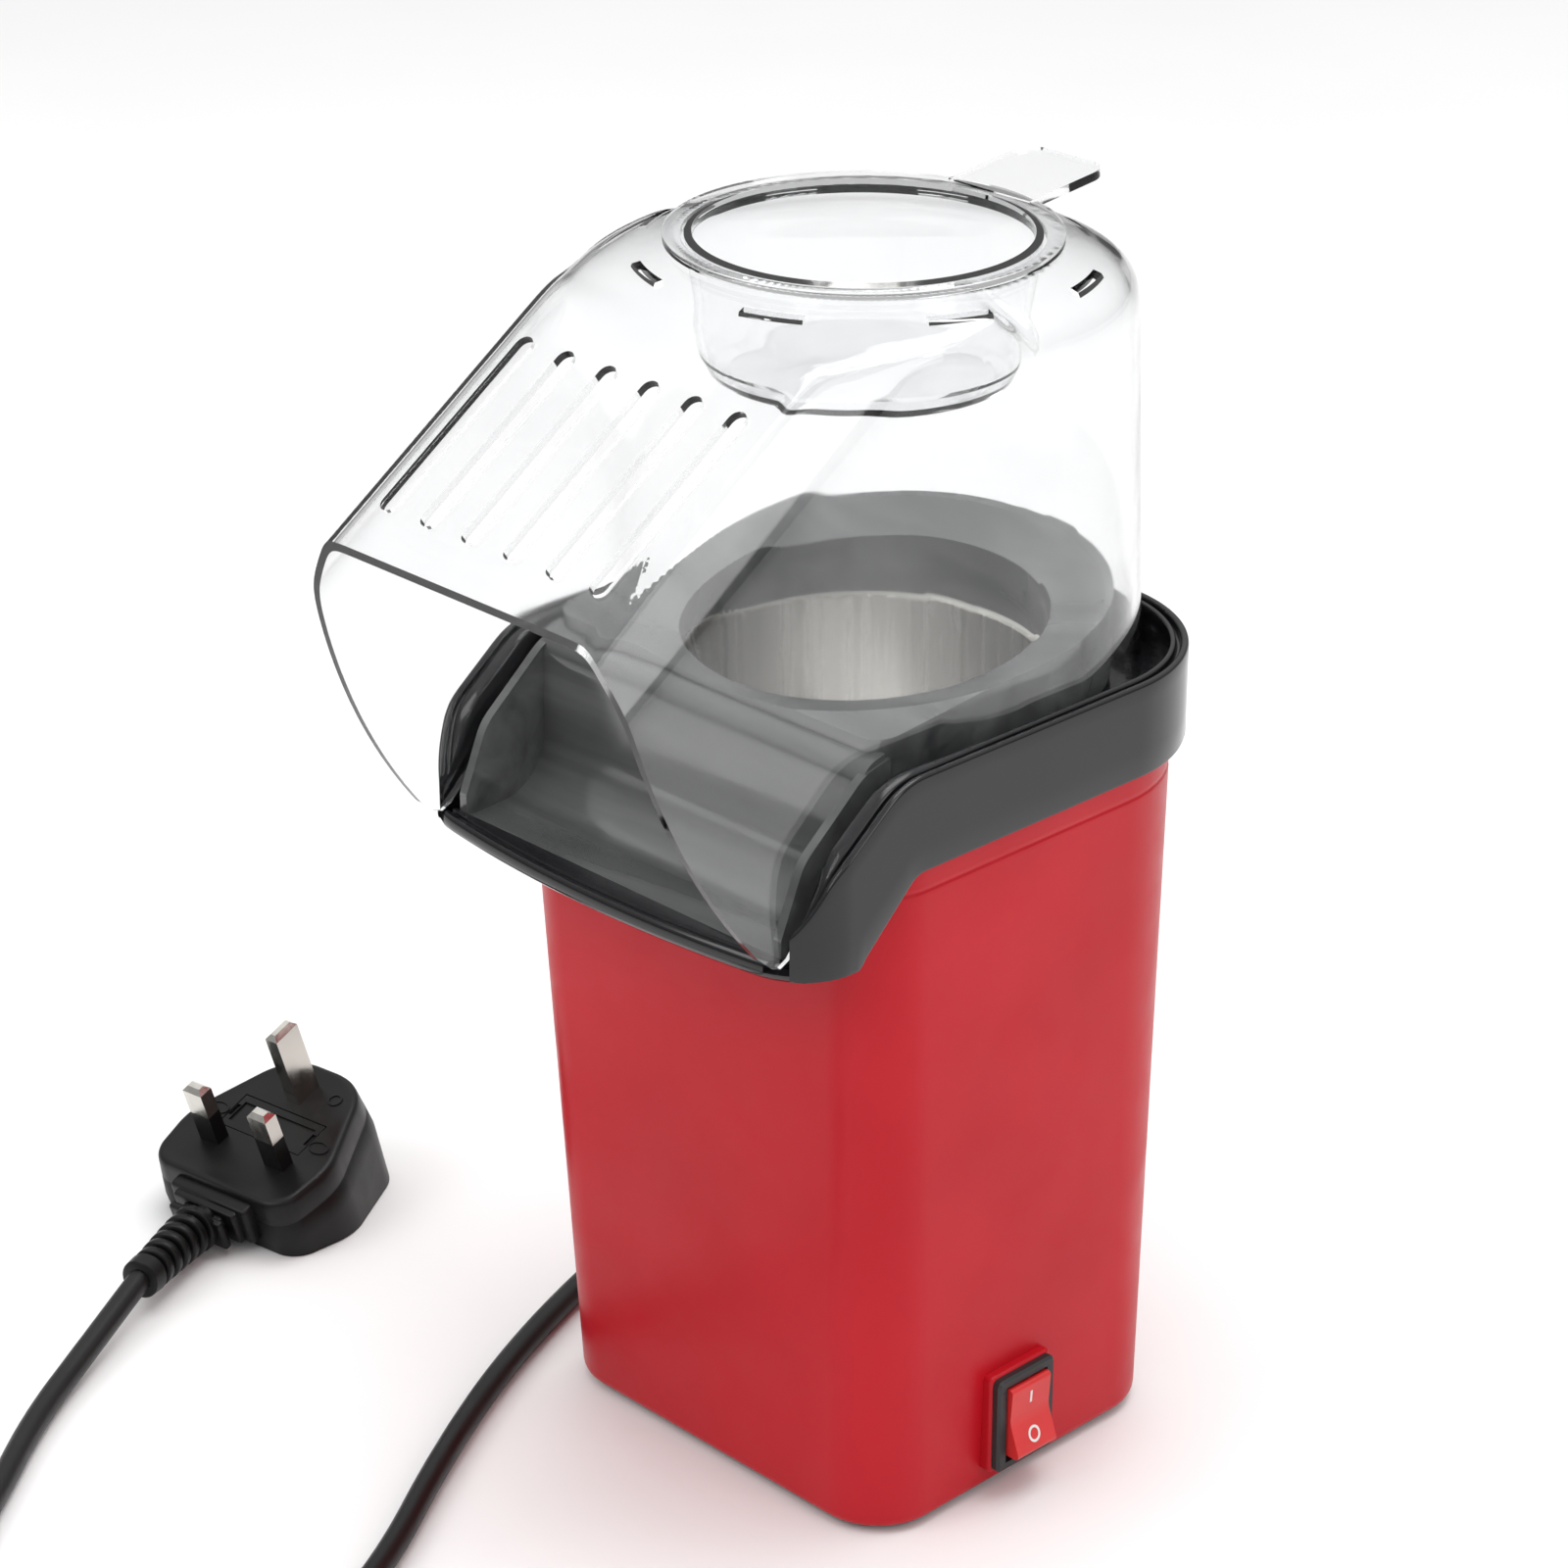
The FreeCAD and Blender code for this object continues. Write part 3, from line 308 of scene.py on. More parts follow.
# (y, z) of the hood's rounded tip and its edge up to the bottom rim, then round outside the hood.
HOOD_HEEL = (
    (-80.2, 157.2), (-78.0, 156.5), (-75.6, 157.6), (-55.5, 178.6), (-52.8, 181.0), (-48.5, HOOD_BOTTOM),
)
ROUND_OUTSIDE = ((90, HOOD_BOTTOM), (90, 100), (-150, 100), (-150, 250), (-125, 240.0))


def soft_max(values, sharpness):
    """The greatest of several arrays, with the edges between them rounded."""
    stack = np.stack(values)
    top = stack.max(0)
    return top + np.log(np.exp(sharpness * (stack - top)).sum(0)) / sharpness


def soft_union(a, b, reach):
    """The least of two distances, with a fillet about as wide as reach."""
    near = np.maximum(reach - np.abs(a - b), 0.0) / reach
    return np.minimum(a, b) - near * near * reach / 4


def hood_distance(p):
    """Roughly the distance outside the hood's outer skin, negative inside."""
    x, y, z = np.abs(p[..., 0]), p[..., 1], p[..., 2]
    rise = np.clip((z - FOOT_Z) / TAPER_TALL, 0, 1.1)
    half_x, rear, corner = (start + growth * rise for start, growth in (DOME_HALF, DOME_REAR, DOME_CORNER))
    half_y = (rear - DOME_FRONT) / 2
    middle_y = (rear + DOME_FRONT) / 2
    qx = x - (half_x - corner)
    qy = np.abs(y - middle_y) - (half_y - corner)
    outside = np.hypot(np.maximum(qx, 0), np.maximum(qy, 0))
    wall = outside + np.minimum(np.maximum(qx, qy), 0) - corner
    radius = np.hypot(x, y)
    cap = (z - HOOD_TOP + CROWN_SLOPE * np.maximum(radius - CROWN_R, 0)) * 0.94
    dome = soft_max([wall, cap], 0.42)
    panel_z = PANEL_HIGH[1] + PANEL_SLOPE * (y - PANEL_HIGH[0])
    shoulder_z = panel_z - SHOULDER_DROP
    side = x - (FRONT_HALF - 6.3 * (z - FOOT_Z) / np.maximum(shoulder_z - FOOT_Z, 20))
    bevel = ((x - SHOULDER_HALF) * 15 + (z - shoulder_z) * 8.7) / 17.34 * 0.9
    panel = (z - panel_z) * 0.83
    ends = [z - FRONT_TOP, y - FRONT_BACK_Y, FRONT_NOSE_Y - y]
    front_part = soft_max([side, bevel, panel] + ends, 0.95)
    reach = 1.5 + 7.5 * np.clip((z - 215) / 45, 0, 1)
    return soft_union(dome, front_part, reach)


def hood_skin(depth, around, upward):
    """The closed skin lying depth inside the hood's outer one, met by rays from one inner point."""
    theta = np.linspace(0, 2 * math.pi, around, endpoint=False)
    phi = np.linspace(-0.5 * math.pi, 0.5 * math.pi, upward + 2)[1:-1]
    th, ph = np.meshgrid(theta, phi)
    way = np.stack([np.cos(ph) * np.cos(th), np.cos(ph) * np.sin(th), np.sin(ph)], -1)
    low = np.zeros(th.shape)
    high = np.full(th.shape, RAY_LONG)
    for _ in range(RAY_HALVINGS):
        middle = (low + high) / 2
        inside = hood_distance(HOOD_EYE + way * middle[..., None]) < -depth
        low = np.where(inside, middle, low)
        high = np.where(inside, high, middle)
    points = HOOD_EYE + way * low[..., None]
    points[..., 2] = np.maximum(points[..., 2], 120.0)
    verts = [tuple(v) for v in points.reshape(-1, 3)]
    caps = [tuple(reversed(cap)) for cap in end_caps(upward, around)]
    return verts, lofted(upward, around) + caps


def arc_through(start, middle, end, steps):
    """Points on the circle through three (y, z) points."""
    ax, ay = start
    bx, by = middle
    cx, cy = end
    d = 2 * (ax * (by - cy) + bx * (cy - ay) + cx * (ay - by))
    ux = ((ax**2 + ay**2) * (by - cy) + (bx**2 + by**2) * (cy - ay) + (cx**2 + cy**2) * (ay - by)) / d
    uy = ((ax**2 + ay**2) * (cx - bx) + (bx**2 + by**2) * (ax - cx) + (cx**2 + cy**2) * (bx - ax)) / d
    radius = math.hypot(ax - ux, ay - uy)
    a0 = math.atan2(ay - uy, ax - ux)
    a1 = math.atan2(cy - uy, cx - ux)
    while a1 - a0 > math.pi:
        a1 -= 2 * math.pi
    while a0 - a1 > math.pi:
        a1 += 2 * math.pi
    points = []
    for k in range(steps + 1):
        angle = a0 + (a1 - a0) * k / steps
        points.append((ux + radius * math.cos(angle), uy + radius * math.sin(angle)))
    return points


def hood_cutters():
    """Everything that opens the closed skin: below and mouth, filling hole, slots and vents."""
    outline = arc_through(PANEL_LOW, MOUTH_MIDDLE, MOUTH_END, 40)
    outline += [*HOOD_HEEL, *ROUND_OUTSIDE]
    parts = [prism_along_x(outline, 90)]
    ring = [(math.cos(k * math.pi / 64), math.sin(k * math.pi / 64)) for k in range(128)]
    hole = [(HOOD_OPENING_R * c, HOOD_OPENING_R * s - 1.0) for c, s in ring]
    parts.append(prism_between([(x, y, 262.0) for x, y in hole], [(x, y, 300.0) for x, y in hole]))
    slope = math.atan(PANEL_SLOPE)
    along = Vector((0, -math.cos(slope), -math.sin(slope)))
    out = Vector((0, -math.sin(slope), math.cos(slope)))
    start = Vector((0, PANEL_HIGH[0], PANEL_HIGH[1]))
    for k in range(SLOT_COUNT):
        middle = (k - (SLOT_COUNT - 1) / 2) * SLOT_PITCH
        lower, upper = [], []
        for x, reach in stadium(SLOT_HALF, *SLOT_REACH):
            point = start + along * reach + Vector((middle + x, 0, 0))
            lower.append(tuple(point - out * 6))
            upper.append(tuple(point + out * 6))
        parts.append(prism_between(lower, upper))
    for k in range(VENT_COUNT):
        first = math.radians(k * 360 / VENT_COUNT + VENT_FIRST_DEG)
        turn = math.radians(VENT_ARC_DEG)
        sweep = [first + turn * j / VENT_STEPS for j in range(VENT_STEPS + 1)]
        rim = [(angle, VENT_R + VENT_HALF) for angle in sweep]
        rim += [(angle, VENT_R - VENT_HALF) for angle in reversed(sweep)]
        flat = [(r * math.cos(a), r * math.sin(a)) for a, r in rim]
        parts.append(prism_between([(x, y, 268.0) for x, y in flat], [(x, y, 290.0) for x, y in flat]))
    return join_parts(parts)


def shade_hood(hood):
    """Shades both skins by the hood's own smooth shape and every cut wall flat."""
    mesh = hood.data
    places = np.empty(len(mesh.vertices) * 3)
    mesh.vertices.foreach_get("co", places)
    places = places.reshape(-1, 3) / MM - np.array((0.0, AXIS_Y, 0.0))
    step = GRADIENT_STEP * np.eye(3)
    slope = np.stack([hood_distance(places + way) - hood_distance(places - way) for way in step], -1)
    slope /= np.maximum(np.linalg.norm(slope, axis=1, keepdims=True), 1e-9)
    depth = hood_distance(places)
    corner = np.empty(len(mesh.loops), np.int32)
    mesh.loops.foreach_get("vertex_index", corner)
    first = np.empty(len(mesh.polygons), np.int32)
    mesh.polygons.foreach_get("loop_start", first)
    sides = np.empty(len(mesh.polygons), np.int32)
    mesh.polygons.foreach_get("loop_total", sides)
    flat = np.empty(len(mesh.polygons) * 3)
    mesh.polygons.foreach_get("normal", flat)
    normals = np.repeat(flat.reshape(-1, 3), sides, axis=0)
    for skin_depth, outward in ((0.0, 1.0), (-HOOD_WALL, -1.0)):
        off_skin = np.maximum.reduceat(np.abs(depth[corner] - skin_depth), first)
        on_skin = np.repeat(off_skin < SKIN_SLACK, sides)[:, None]
        normals = np.where(on_skin, outward * slope[corner], normals)
    mesh.normals_split_custom_set(normals)


def add_hood():
    """The clear hood: two skins, opened by the cutters and shaded by their own shape."""
    around, upward = ((420, 210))
    outer = hood_skin(0.0, around, upward)
    inner_verts, inner_faces = hood_skin(HOOD_WALL, around, upward)
    inner = (inner_verts, [tuple(reversed(face)) for face in inner_faces])
    hood = mesh_object("hood_clear", *join_parts([outer, inner]))
    cutter = mesh_object("hood_cutter", *hood_cutters(), smooth=False)
    fix_normals(cutter)
    cut = hood.modifiers.new("open", "BOOLEAN")
    cut.operation = "DIFFERENCE"
    cut.solver = "EXACT"
    cut.object = cutter
    apply_modifiers(hood)
    bpy.data.objects.remove(cutter)
    shade_hood(hood)
    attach(hood, "hood")
    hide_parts("hood_dome", "hood_front")
    return hood


# ---------------------------------------------------------------- collar

COLLAR_HALF = 61.7
COLLAR_REAR = 62.5
COLLAR_CORNER_R = 40.0
COLLAR_TOP = 191.5
COLLAR_BOTTOM = 169.5
COLLAR_THICK = 4.3
LIP_TOP = 157.3
LIP_BOTTOM = 153.2
LIP_BOW = 4.5
LIP_HALF = 50.2
LIP_REACH = 57.2
ARM_FRONT = -80.0
ARM_INSIDE = 55.1
ARM_CORNER_R = 14.0
ARM_CORNER_Y = -65.0
ARM_TURN_DEG = 57.0
BEAD_R = 0.9
CORNER_STEPS = 48
ARM_STEPS = 80
TIP_STEPS = 24
# (y, z, corner radius) along the collar's upper and lower edges, from the back to the arms' tips.
COLLAR_UPPER = (
    (COLLAR_REAR, COLLAR_TOP, 0), (-50.0, COLLAR_TOP, 18.0), (-69.5, 176.5, 16.0),
    (ARM_FRONT, LIP_TOP + 0.6, 0),
)
COLLAR_LOWER = (
    (COLLAR_REAR, COLLAR_BOTTOM, 0), (-46.0, COLLAR_BOTTOM, 6.0), (-60.5, 155.8, 5.0),
    (-62.5, LIP_BOTTOM, 0), (ARM_FRONT, LIP_BOTTOM, 0),
)
# (distance behind the nose, z) round the lip's front, from below to above.
LIP_NOSE = (
    (3.2, LIP_BOTTOM - 0.6), (1.5, LIP_BOTTOM - 0.35), (0.4, LIP_BOTTOM + 0.7), (0.0, LIP_BOTTOM + 1.9),
    (0.15, LIP_TOP - 0.7), (0.8, LIP_TOP), (1.7, LIP_TOP - 0.05), (2.1, LIP_TOP - 0.75),
    (2.6, LIP_TOP - 0.75), (2.95, LIP_TOP - 0.1), (3.6, LIP_TOP - 0.15),
)
LIP_BACK_Y = -62.6
LIP_STEPS = 44
LEDGE_HOLE_R = 46.0
LEDGE_LOW, LEDGE_HIGH = 180.2, 182.4
LEDGE_HALF, LEDGE_REAR, LEDGE_CORNER = 57.6, 58.6, 67.5
LEDGE_FIRST_DEG, LEDGE_SWEEP_DEG = -42, 264
LEDGE_STEPS = 96


def round_corners(points, steps=10):
    """An outline from (y, z, radius) points, each corner rounded by its radius."""
    outline = []
    count = len(points)
    for i, (y, z, radius) in enumerate(points):
        corner = Vector((y, z))
        if radius == 0 or i in (0, count - 1):
            outline.append(corner)
            continue
        back = (Vector(points[i - 1][:2]) - corner).normalized()
        ahead = (Vector(points[i + 1][:2]) - corner).normalized()
        half = back.angle(ahead) / 2
        reach = radius / math.tan(half)
        centre = corner + (back + ahead).normalized() * (radius / math.sin(half))
        first = corner + back * reach - centre
        last = corner + ahead * reach - centre
        turn = first.angle_signed(last)
        for k in range(steps + 1):
            spot = Matrix.Rotation(-turn * k / steps, 2) @ first
            outline.append(centre + spot)
    return outline


def height_on(outline, y):
    """The height of an outline, which runs towards -Y, at y."""
    for a, b in zip(outline, outline[1:]):
        if a.x >= y >= b.x and a.x > b.x:
            return a.y + (b.y - a.y) * (a.x - y) / (a.x - b.x)
    return outline[-1].y


def collar_section(top, low, thick, inner_drop):
    """(inward, z) points of the collar's wall, from its outer foot over both beads to its inner foot."""
    tall = max(top - low, 2.0)
    bead = min(BEAD_R, tall * 0.2)
    points = [(thick - 0.6, low), (0.7, low), (0.15, low + 0.25), (0, low + 0.8)]
    points += [(0, low + (tall - bead) * share) for share in (0.3, 0.6, 0.85)]
    for k in range(7):
        angle = math.pi * k / 6
        points.append((BEAD_R - BEAD_R * math.cos(angle), top - bead + bead * math.sin(angle)))
    points += [(1.82, top - bead - 0.7), (2.05, top - bead - 1.0)]
    points += [(2.5, top - bead - 1.0), (2.75, top - bead - 0.6)]
    inner = thick - 2.8
    for k in range(6):
        angle = math.pi * k / 5
        inward = 2.8 + inner / 2 - inner / 2 * math.cos(angle)
        points.append((inward, top - bead - 0.1 + bead * math.sin(angle)))
    points.append((thick, top - bead - 1.5))
    points.append((thick, max(low, top - inner_drop)))
    return points


def add_collar():
    """The collar as one wall swept round the back and down both arms, a bead each side of a groove."""
    top_line = round_corners(COLLAR_UPPER)
    low_line = round_corners(COLLAR_LOWER)
    stations = []
    fine = 1
    for k in range(0, CORNER_STEPS + 1, fine):
        angle = math.pi / 2 * (1 - k / CORNER_STEPS)
        centre_x = COLLAR_HALF - COLLAR_CORNER_R
        centre_y = COLLAR_REAR - COLLAR_CORNER_R
        away = Vector((math.cos(angle), math.sin(angle)))
        stations.append((Vector((centre_x, centre_y)) + away * COLLAR_CORNER_R, away))
    straight = COLLAR_REAR - COLLAR_CORNER_R
    length = straight - ARM_CORNER_Y
    steps = ARM_STEPS // fine
    for k in range(1, steps + 1):
        stations.append((Vector((COLLAR_HALF, straight - length * k / steps)), Vector((1, 0))))
    tip = Vector((COLLAR_HALF - ARM_CORNER_R, ARM_CORNER_Y))
    for k in range(1, TIP_STEPS + 1):
        angle = math.radians(-ARM_TURN_DEG * k / TIP_STEPS)
        away = Vector((math.cos(angle), math.sin(angle)))
        stations.append((tip + away * ARM_CORNER_R, away))
    mirrored = [(Vector((-p.x, p.y)), Vector((-n.x, n.y))) for p, n in stations]
    path = list(reversed(stations)) + mirrored
    verts = []
    for place, away in path:
        top = height_on(top_line, place.y)
        low = height_on(low_line, place.y)
        share = ease(-place.y, 20, 58)
        thick = COLLAR_THICK + (COLLAR_HALF - ARM_INSIDE - COLLAR_THICK) * share
        side = 1 if place.x > 0 else -1
        for inward, z in collar_section(top, low, thick, 14.0 + 30.0 * share):
            spot = place - away * inward
            if place.y < 0:
                spot.x = side * max(side * spot.x, ARM_INSIDE)
            verts.append((spot.x, spot.y, z))
    count = len(verts) // len(path)
    collar = mesh_object("collar_rim", verts, lofted(len(path), count) + end_caps(len(path), count))
    fix_normals(collar)
    sharpen(collar, 50.0)
    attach(collar, "root")
    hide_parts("collar")
    return collar


def add_lip():
    """The bowed lip between the arms, with a rounded nose and a fine line behind it."""
    verts = []
    whole = [LIP_REACH * (2 * i / LIP_STEPS - 1) for i in range(LIP_STEPS + 1)]
    whole = sorted(whole + [side * spot for side in (-1, 1) for spot in (LIP_HALF, LIP_HALF + 0.05)])
    for x in whole:
        past = max(abs(x) - (COLLAR_HALF - ARM_CORNER_R), 0.0)
        bow = LIP_BOW * max(0.0, 1 - (x / 54.0) ** 2)
        nose = ARM_CORNER_Y - math.sqrt(ARM_CORNER_R**2 - past**2) - bow
        section = [(LIP_BACK_Y, LIP_BOTTOM + 0.2), (LIP_BACK_Y, LIP_BOTTOM - 0.6)]
        section += [(nose + behind, z) for behind, z in LIP_NOSE]
        section += [(-74.4, LIP_TOP - 1.2), (-73.6, LIP_BOTTOM + 0.9)]
        ceiling = LIP_BOTTOM + 1.6 if abs(x) > LIP_HALF + 0.01 else LIP_TOP
        verts += [(x, max(y, nose), min(z, ceiling)) for y, z in section]
    count = len(verts) // len(whole)
    lip = mesh_object("chute_lip", verts, lofted(len(whole), count) + end_caps(len(whole), count))
    fix_normals(lip)
    sharpen(lip, 40.0)
    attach(lip, "root")
    return lip


def add_ledge():
    """The shelf inside the collar that carries the chamber and the hood."""
    verts = []
    rows = LEDGE_STEPS + 1
    for i in range(rows):
        angle = math.radians(LEDGE_FIRST_DEG + LEDGE_SWEEP_DEG * i / LEDGE_STEPS)
        way = Vector((math.cos(angle), math.sin(angle)))
        reach = min(LEDGE_HALF / max(abs(way.x), 1e-6), LEDGE_REAR / max(way.y, 1e-6), LEDGE_CORNER)
        corners = (
            (LEDGE_HOLE_R, LEDGE_LOW), (LEDGE_HOLE_R, LEDGE_HIGH), (reach, LEDGE_HIGH), (reach, LEDGE_LOW)
        )
        verts += [(way.x * radius, way.y * radius, z) for radius, z in corners]
    ledge = mesh_object("collar_ledge", verts, lofted(rows, 4) + end_caps(rows, 4), smooth=False)
    fix_normals(ledge)
    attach(ledge, "root")
    return ledge


# ---------------------------------------------------------------- body shell

SHELL_LOW, SHELL_HIGH = 1.5, 176.0
SHELL_LOW_PLAN = (53.8, 53.8, -47.7, 48.7, 16.0, 18.0)
SHELL_HIGH_PLAN = (59.2, 59.2, -55.5, 58.0, 15.0, 36.0)
SHELL_WALL = 2.2
GROOVE_Z = 163.2
SWITCH_Y, SWITCH_Z = -5.5, 19.5
SWITCH_HOLE_HALF = (8.3, 11.1)
PLINTH_X = 57.2
PLINTH_HALF = (9.7, 12.5)
BEVEL_SEGMENTS = 3


def plan_loop(plan, grow, per_corner=14):
    """A rounded four-sided outline in plan as (x, y) points, each corner with as many points."""
    front_half, rear_half, front, rear, front_r, rear_r = plan
    corners = (
        (rear_half, rear, rear_r, 0), (-rear_half, rear, rear_r, 90),
        (-front_half, front, front_r, 180), (front_half, front, front_r, 270),
    )
    points = []
    for x, y, radius, start in corners:
        sign_x, sign_y = (1 if x > 0 else -1), (1 if y > 0 else -1)
        for k in range(per_corner + 1):
            angle = math.radians(start + 90 * k / per_corner)
            cx = x - sign_x * radius
            cy = y - sign_y * radius
            points.append((cx + (radius + grow) * math.cos(angle), cy + (radius + grow) * math.sin(angle)))
    return points


def shell_rings():
    """(height, growth) of the shell's outline, up the outside and down the inside."""
    foot = [(SHELL_LOW, -2.2), (SHELL_LOW + 0.05, -1.5), (SHELL_LOW + 0.35, -0.85), (SHELL_LOW + 0.9, -0.35)]
    foot += [(SHELL_LOW + 1.6, -0.08), (SHELL_LOW + 2.4, 0.0)]
    wall = [(z, 0.0) for z in (20, 45, 70, 95, 120, 145, GROOVE_Z - 1.6, GROOVE_Z - 0.8)]
    groove = [(GROOVE_Z - 0.5, -0.05), (GROOVE_Z - 0.25, -0.24)]
    groove += [(GROOVE_Z + 0.1, -0.24), (GROOVE_Z + 0.5, -0.1)]
    above = [(GROOVE_Z + 1.2, -0.05), (169.0, 0.0), (SHELL_HIGH, 0.0)]
    inside = [(SHELL_HIGH, -SHELL_WALL), (90.0, -SHELL_WALL), (SHELL_LOW, -SHELL_WALL - 0.02)]
    return foot + wall + groove + above + inside


def box_part(low, high):
    """Vertices and faces of a box between two corners."""
    verts = [(x, y, z) for x in (low[0], high[0]) for y in (low[1], high[1]) for z in (low[2], high[2])]
    faces = [(0, 1, 3, 2), (4, 6, 7, 5), (0, 4, 5, 1), (2, 3, 7, 6), (0, 2, 6, 4), (1, 5, 7, 3)]
    return verts, faces


def cylinder_part(start, end, radius, around=40):
    """A closed cylinder between two (x, y, z) points."""
    start, end = Vector(start), Vector(end)
    turn = (end - start).to_track_quat("Z", "Y")
    lower, upper = [], []
    for k in range(around):
        angle = 2 * math.pi * k / around
        spot = turn @ Vector((radius * math.cos(angle), radius * math.sin(angle), 0))
        lower.append(tuple(start + spot))
        upper.append(tuple(end + spot))
    return prism_between(lower, upper)


def cut_away(piece, parts):
    """Cuts closed parts out of a piece."""
    cutter = mesh_object(piece.name + "_cutter", *join_parts(parts), smooth=False)
    fix_normals(cutter)
    cut = piece.modifiers.new("cut", "BOOLEAN")
    cut.operation = "DIFFERENCE"
    cut.solver = "EXACT"
    cut.use_self = True
    cut.object = cutter
    apply_modifiers(piece)
    bpy.data.objects.remove(cutter)


def rounded_box(name, low, high, radius):
    """A box with rounded edges."""
    piece = mesh_object(name, *box_part(low, high))
    work = bmesh.new()
    work.from_mesh(piece.data)
    bmesh.ops.bevel(
        work,
        geom=list(work.edges),
        offset=radius * MM,
        segments=BEVEL_SEGMENTS,
        profile=0.5,
        affect="EDGES",
    )
    work.to_mesh(piece.data)
    work.free()
    sharpen(piece, 35.0)
    return piece


def merge_pieces(name, pieces):
    """Several meshes as one piece."""
    joined = bmesh.new()
    for piece in pieces:
        joined.from_mesh(piece.data)
    mesh = bpy.data.meshes.new(name)
    joined.to_mesh(mesh)
    joined.free()
    for piece in pieces:
        bpy.data.objects.remove(piece)
    merged = bpy.data.objects.new(name, mesh)
    bpy.context.scene.collection.objects.link(merged)
    return merged


def around_switch(low_x, high_x, half):
    """Opposite corners of a box round the switch's middle, half as (y, z)."""
    return (low_x, SWITCH_Y - half[0], SWITCH_Z - half[1]), (high_x, SWITCH_Y + half[0], SWITCH_Z + half[1])


def add_shell():
    """The tapered red shell, open at the chute, the switch and the cord, with the switch's plinth."""
    verts = []
    rings = shell_rings()
    for z, grow in rings:
        share = (z - SHELL_LOW) / (SHELL_HIGH - SHELL_LOW)
        plan = [a + (b - a) * share for a, b in zip(SHELL_LOW_PLAN, SHELL_HIGH_PLAN)]
        verts += [(x, y, z) for x, y in plan_loop(plan, grow)]
    faces = lofted(len(rings), len(verts) // len(rings), closed=True)
    shell = mesh_object("shell_skin", verts, faces)
    fix_normals(shell)
    switch_hole = box_part(*around_switch(40, 70, SWITCH_HOLE_HALF))
    cut_away(
        shell,
        [
            box_part((-51, -70, 148.5), (51, -40, 200)),
            switch_hole,
            cylinder_part((-30, 35, 15), (-30, 65, 15), 5.0),
        ],
    )
    plinth = rounded_box("plinth", *around_switch(50.5, PLINTH_X, PLINTH_HALF), 1.0)
    cut_away(plinth, [switch_hole])
    skin = merge_pieces("body_skin", [shell, plinth])
    sharpen(skin, 40.0)
    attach(skin, "root")
    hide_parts("body_shell")
    return skin


# ---------------------------------------------------------------- switch marks

ROCKER_TILT = math.radians(8.0)
ROCKER_PIVOT_X = PLINTH_X - 1.5
ROCKER_FACE = ((2.9, 0.0), (4.8, 9.0))
MARK_SUNK, MARK_PROUD = -0.2, 0.1
MARK_RING_R = (1.25, 1.8)
MARK_RING_STEPS = 48


def on_rocker(u, v, lift):
    """A point on the rocker: u across, v up from the valley, lift off the face, both faces alike."""
    (x0, z0), (x1, z1) = ROCKER_FACE
    run = Vector((x1 - x0, z1 - z0)).normalized()
    side = 1 if v >= 0 else -1
    x = x0 + run.x * abs(v) + lift * run.y
    z = side * (run.y * abs(v) - lift * run.x)
    x += PLINTH_X - ROCKER_PIVOT_X
    turned_x = x * math.cos(ROCKER_TILT) - z * math.sin(ROCKER_TILT)
    turned_z = x * math.sin(ROCKER_TILT) + z * math.cos(ROCKER_TILT)
    return (ROCKER_PIVOT_X + turned_x, SWITCH_Y + u, SWITCH_Z + turned_z)


def add_switch_marks():
    """The usual bar and ring, filled with white."""
    bar = [(0.32 * x, 4.9 + 1.5 * y) for x, y in ((-1, -1), (1, -1), (1, 1), (-1, 1))]
    parts = [prism_between(*([on_rocker(u, v, lift) for u, v in bar] for lift in (MARK_SUNK, MARK_PROUD)))]
    inner, outer = MARK_RING_R
    corners = ((inner, MARK_SUNK), (inner, MARK_PROUD), (outer, MARK_PROUD), (outer, MARK_SUNK))
    verts = []
    for k in range(MARK_RING_STEPS):
        angle = 2 * math.pi * k / MARK_RING_STEPS
        c, sn = math.cos(angle), math.sin(angle)
        verts += [on_rocker(radius * c, -4.7 + radius * 1.1 * sn, lift) for radius, lift in corners]
    parts.append((verts, lofted(MARK_RING_STEPS, 4, closed=True)))
    marks = mesh_object("switch_marks", *join_parts(parts), smooth=False)
    fix_normals(marks)
    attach(marks, "rocker")
    return marks


# ---------------------------------------------------------------- plug and strain relief

PLUG_AT = Vector((-160.5, -50.5, 22.4))
PLUG_TILT = math.radians(18.0)
PLUG_TURN = math.radians(8.0)
# (x, y, radius) of the outline's corners, seen from the pins.
PLUG_CORNERS = (
    (22.5, -20.5, 7.0), (25.0, -3.0, 18.0), (12.5, 25.0, 14.0),
    (-12.5, 25.0, 14.0), (-25.0, -3.0, 18.0), (-22.5, -20.5, 7.0),
)
PLUG_OUTLINE_MIDDLE = Vector((0, 2.0))
# (depth, growth of the outline) from the plug's face to below the floor, where it is cut off.
PLUG_SECTIONS = (
    (-0.15, -2.2), (0.0, -1.6), (-0.12, -0.95), (-0.5, -0.4), (-1.2, -0.05), (-2.2, 0.1),
    (-6.5, 0.55), (-7.0, 0.35), (-7.4, 0.35), (-7.9, 0.7), (-13.0, 1.2), (-44.0, 0.2),
)
# (x, y, half width, half height) of the raised outlines on the face.
PLUG_RINGS = ((-17.2, 1.2, 2.6, 1.6), (17.2, 1.2, 2.6, 1.6), (9.6, 16.4, 1.5, 1.5))
PLUG_RING_SECTION = ((0.0, -0.3), (0.08, 0.16), (0.42, 0.16), (0.5, -0.3))
PLUG_RING_STEPS = 36
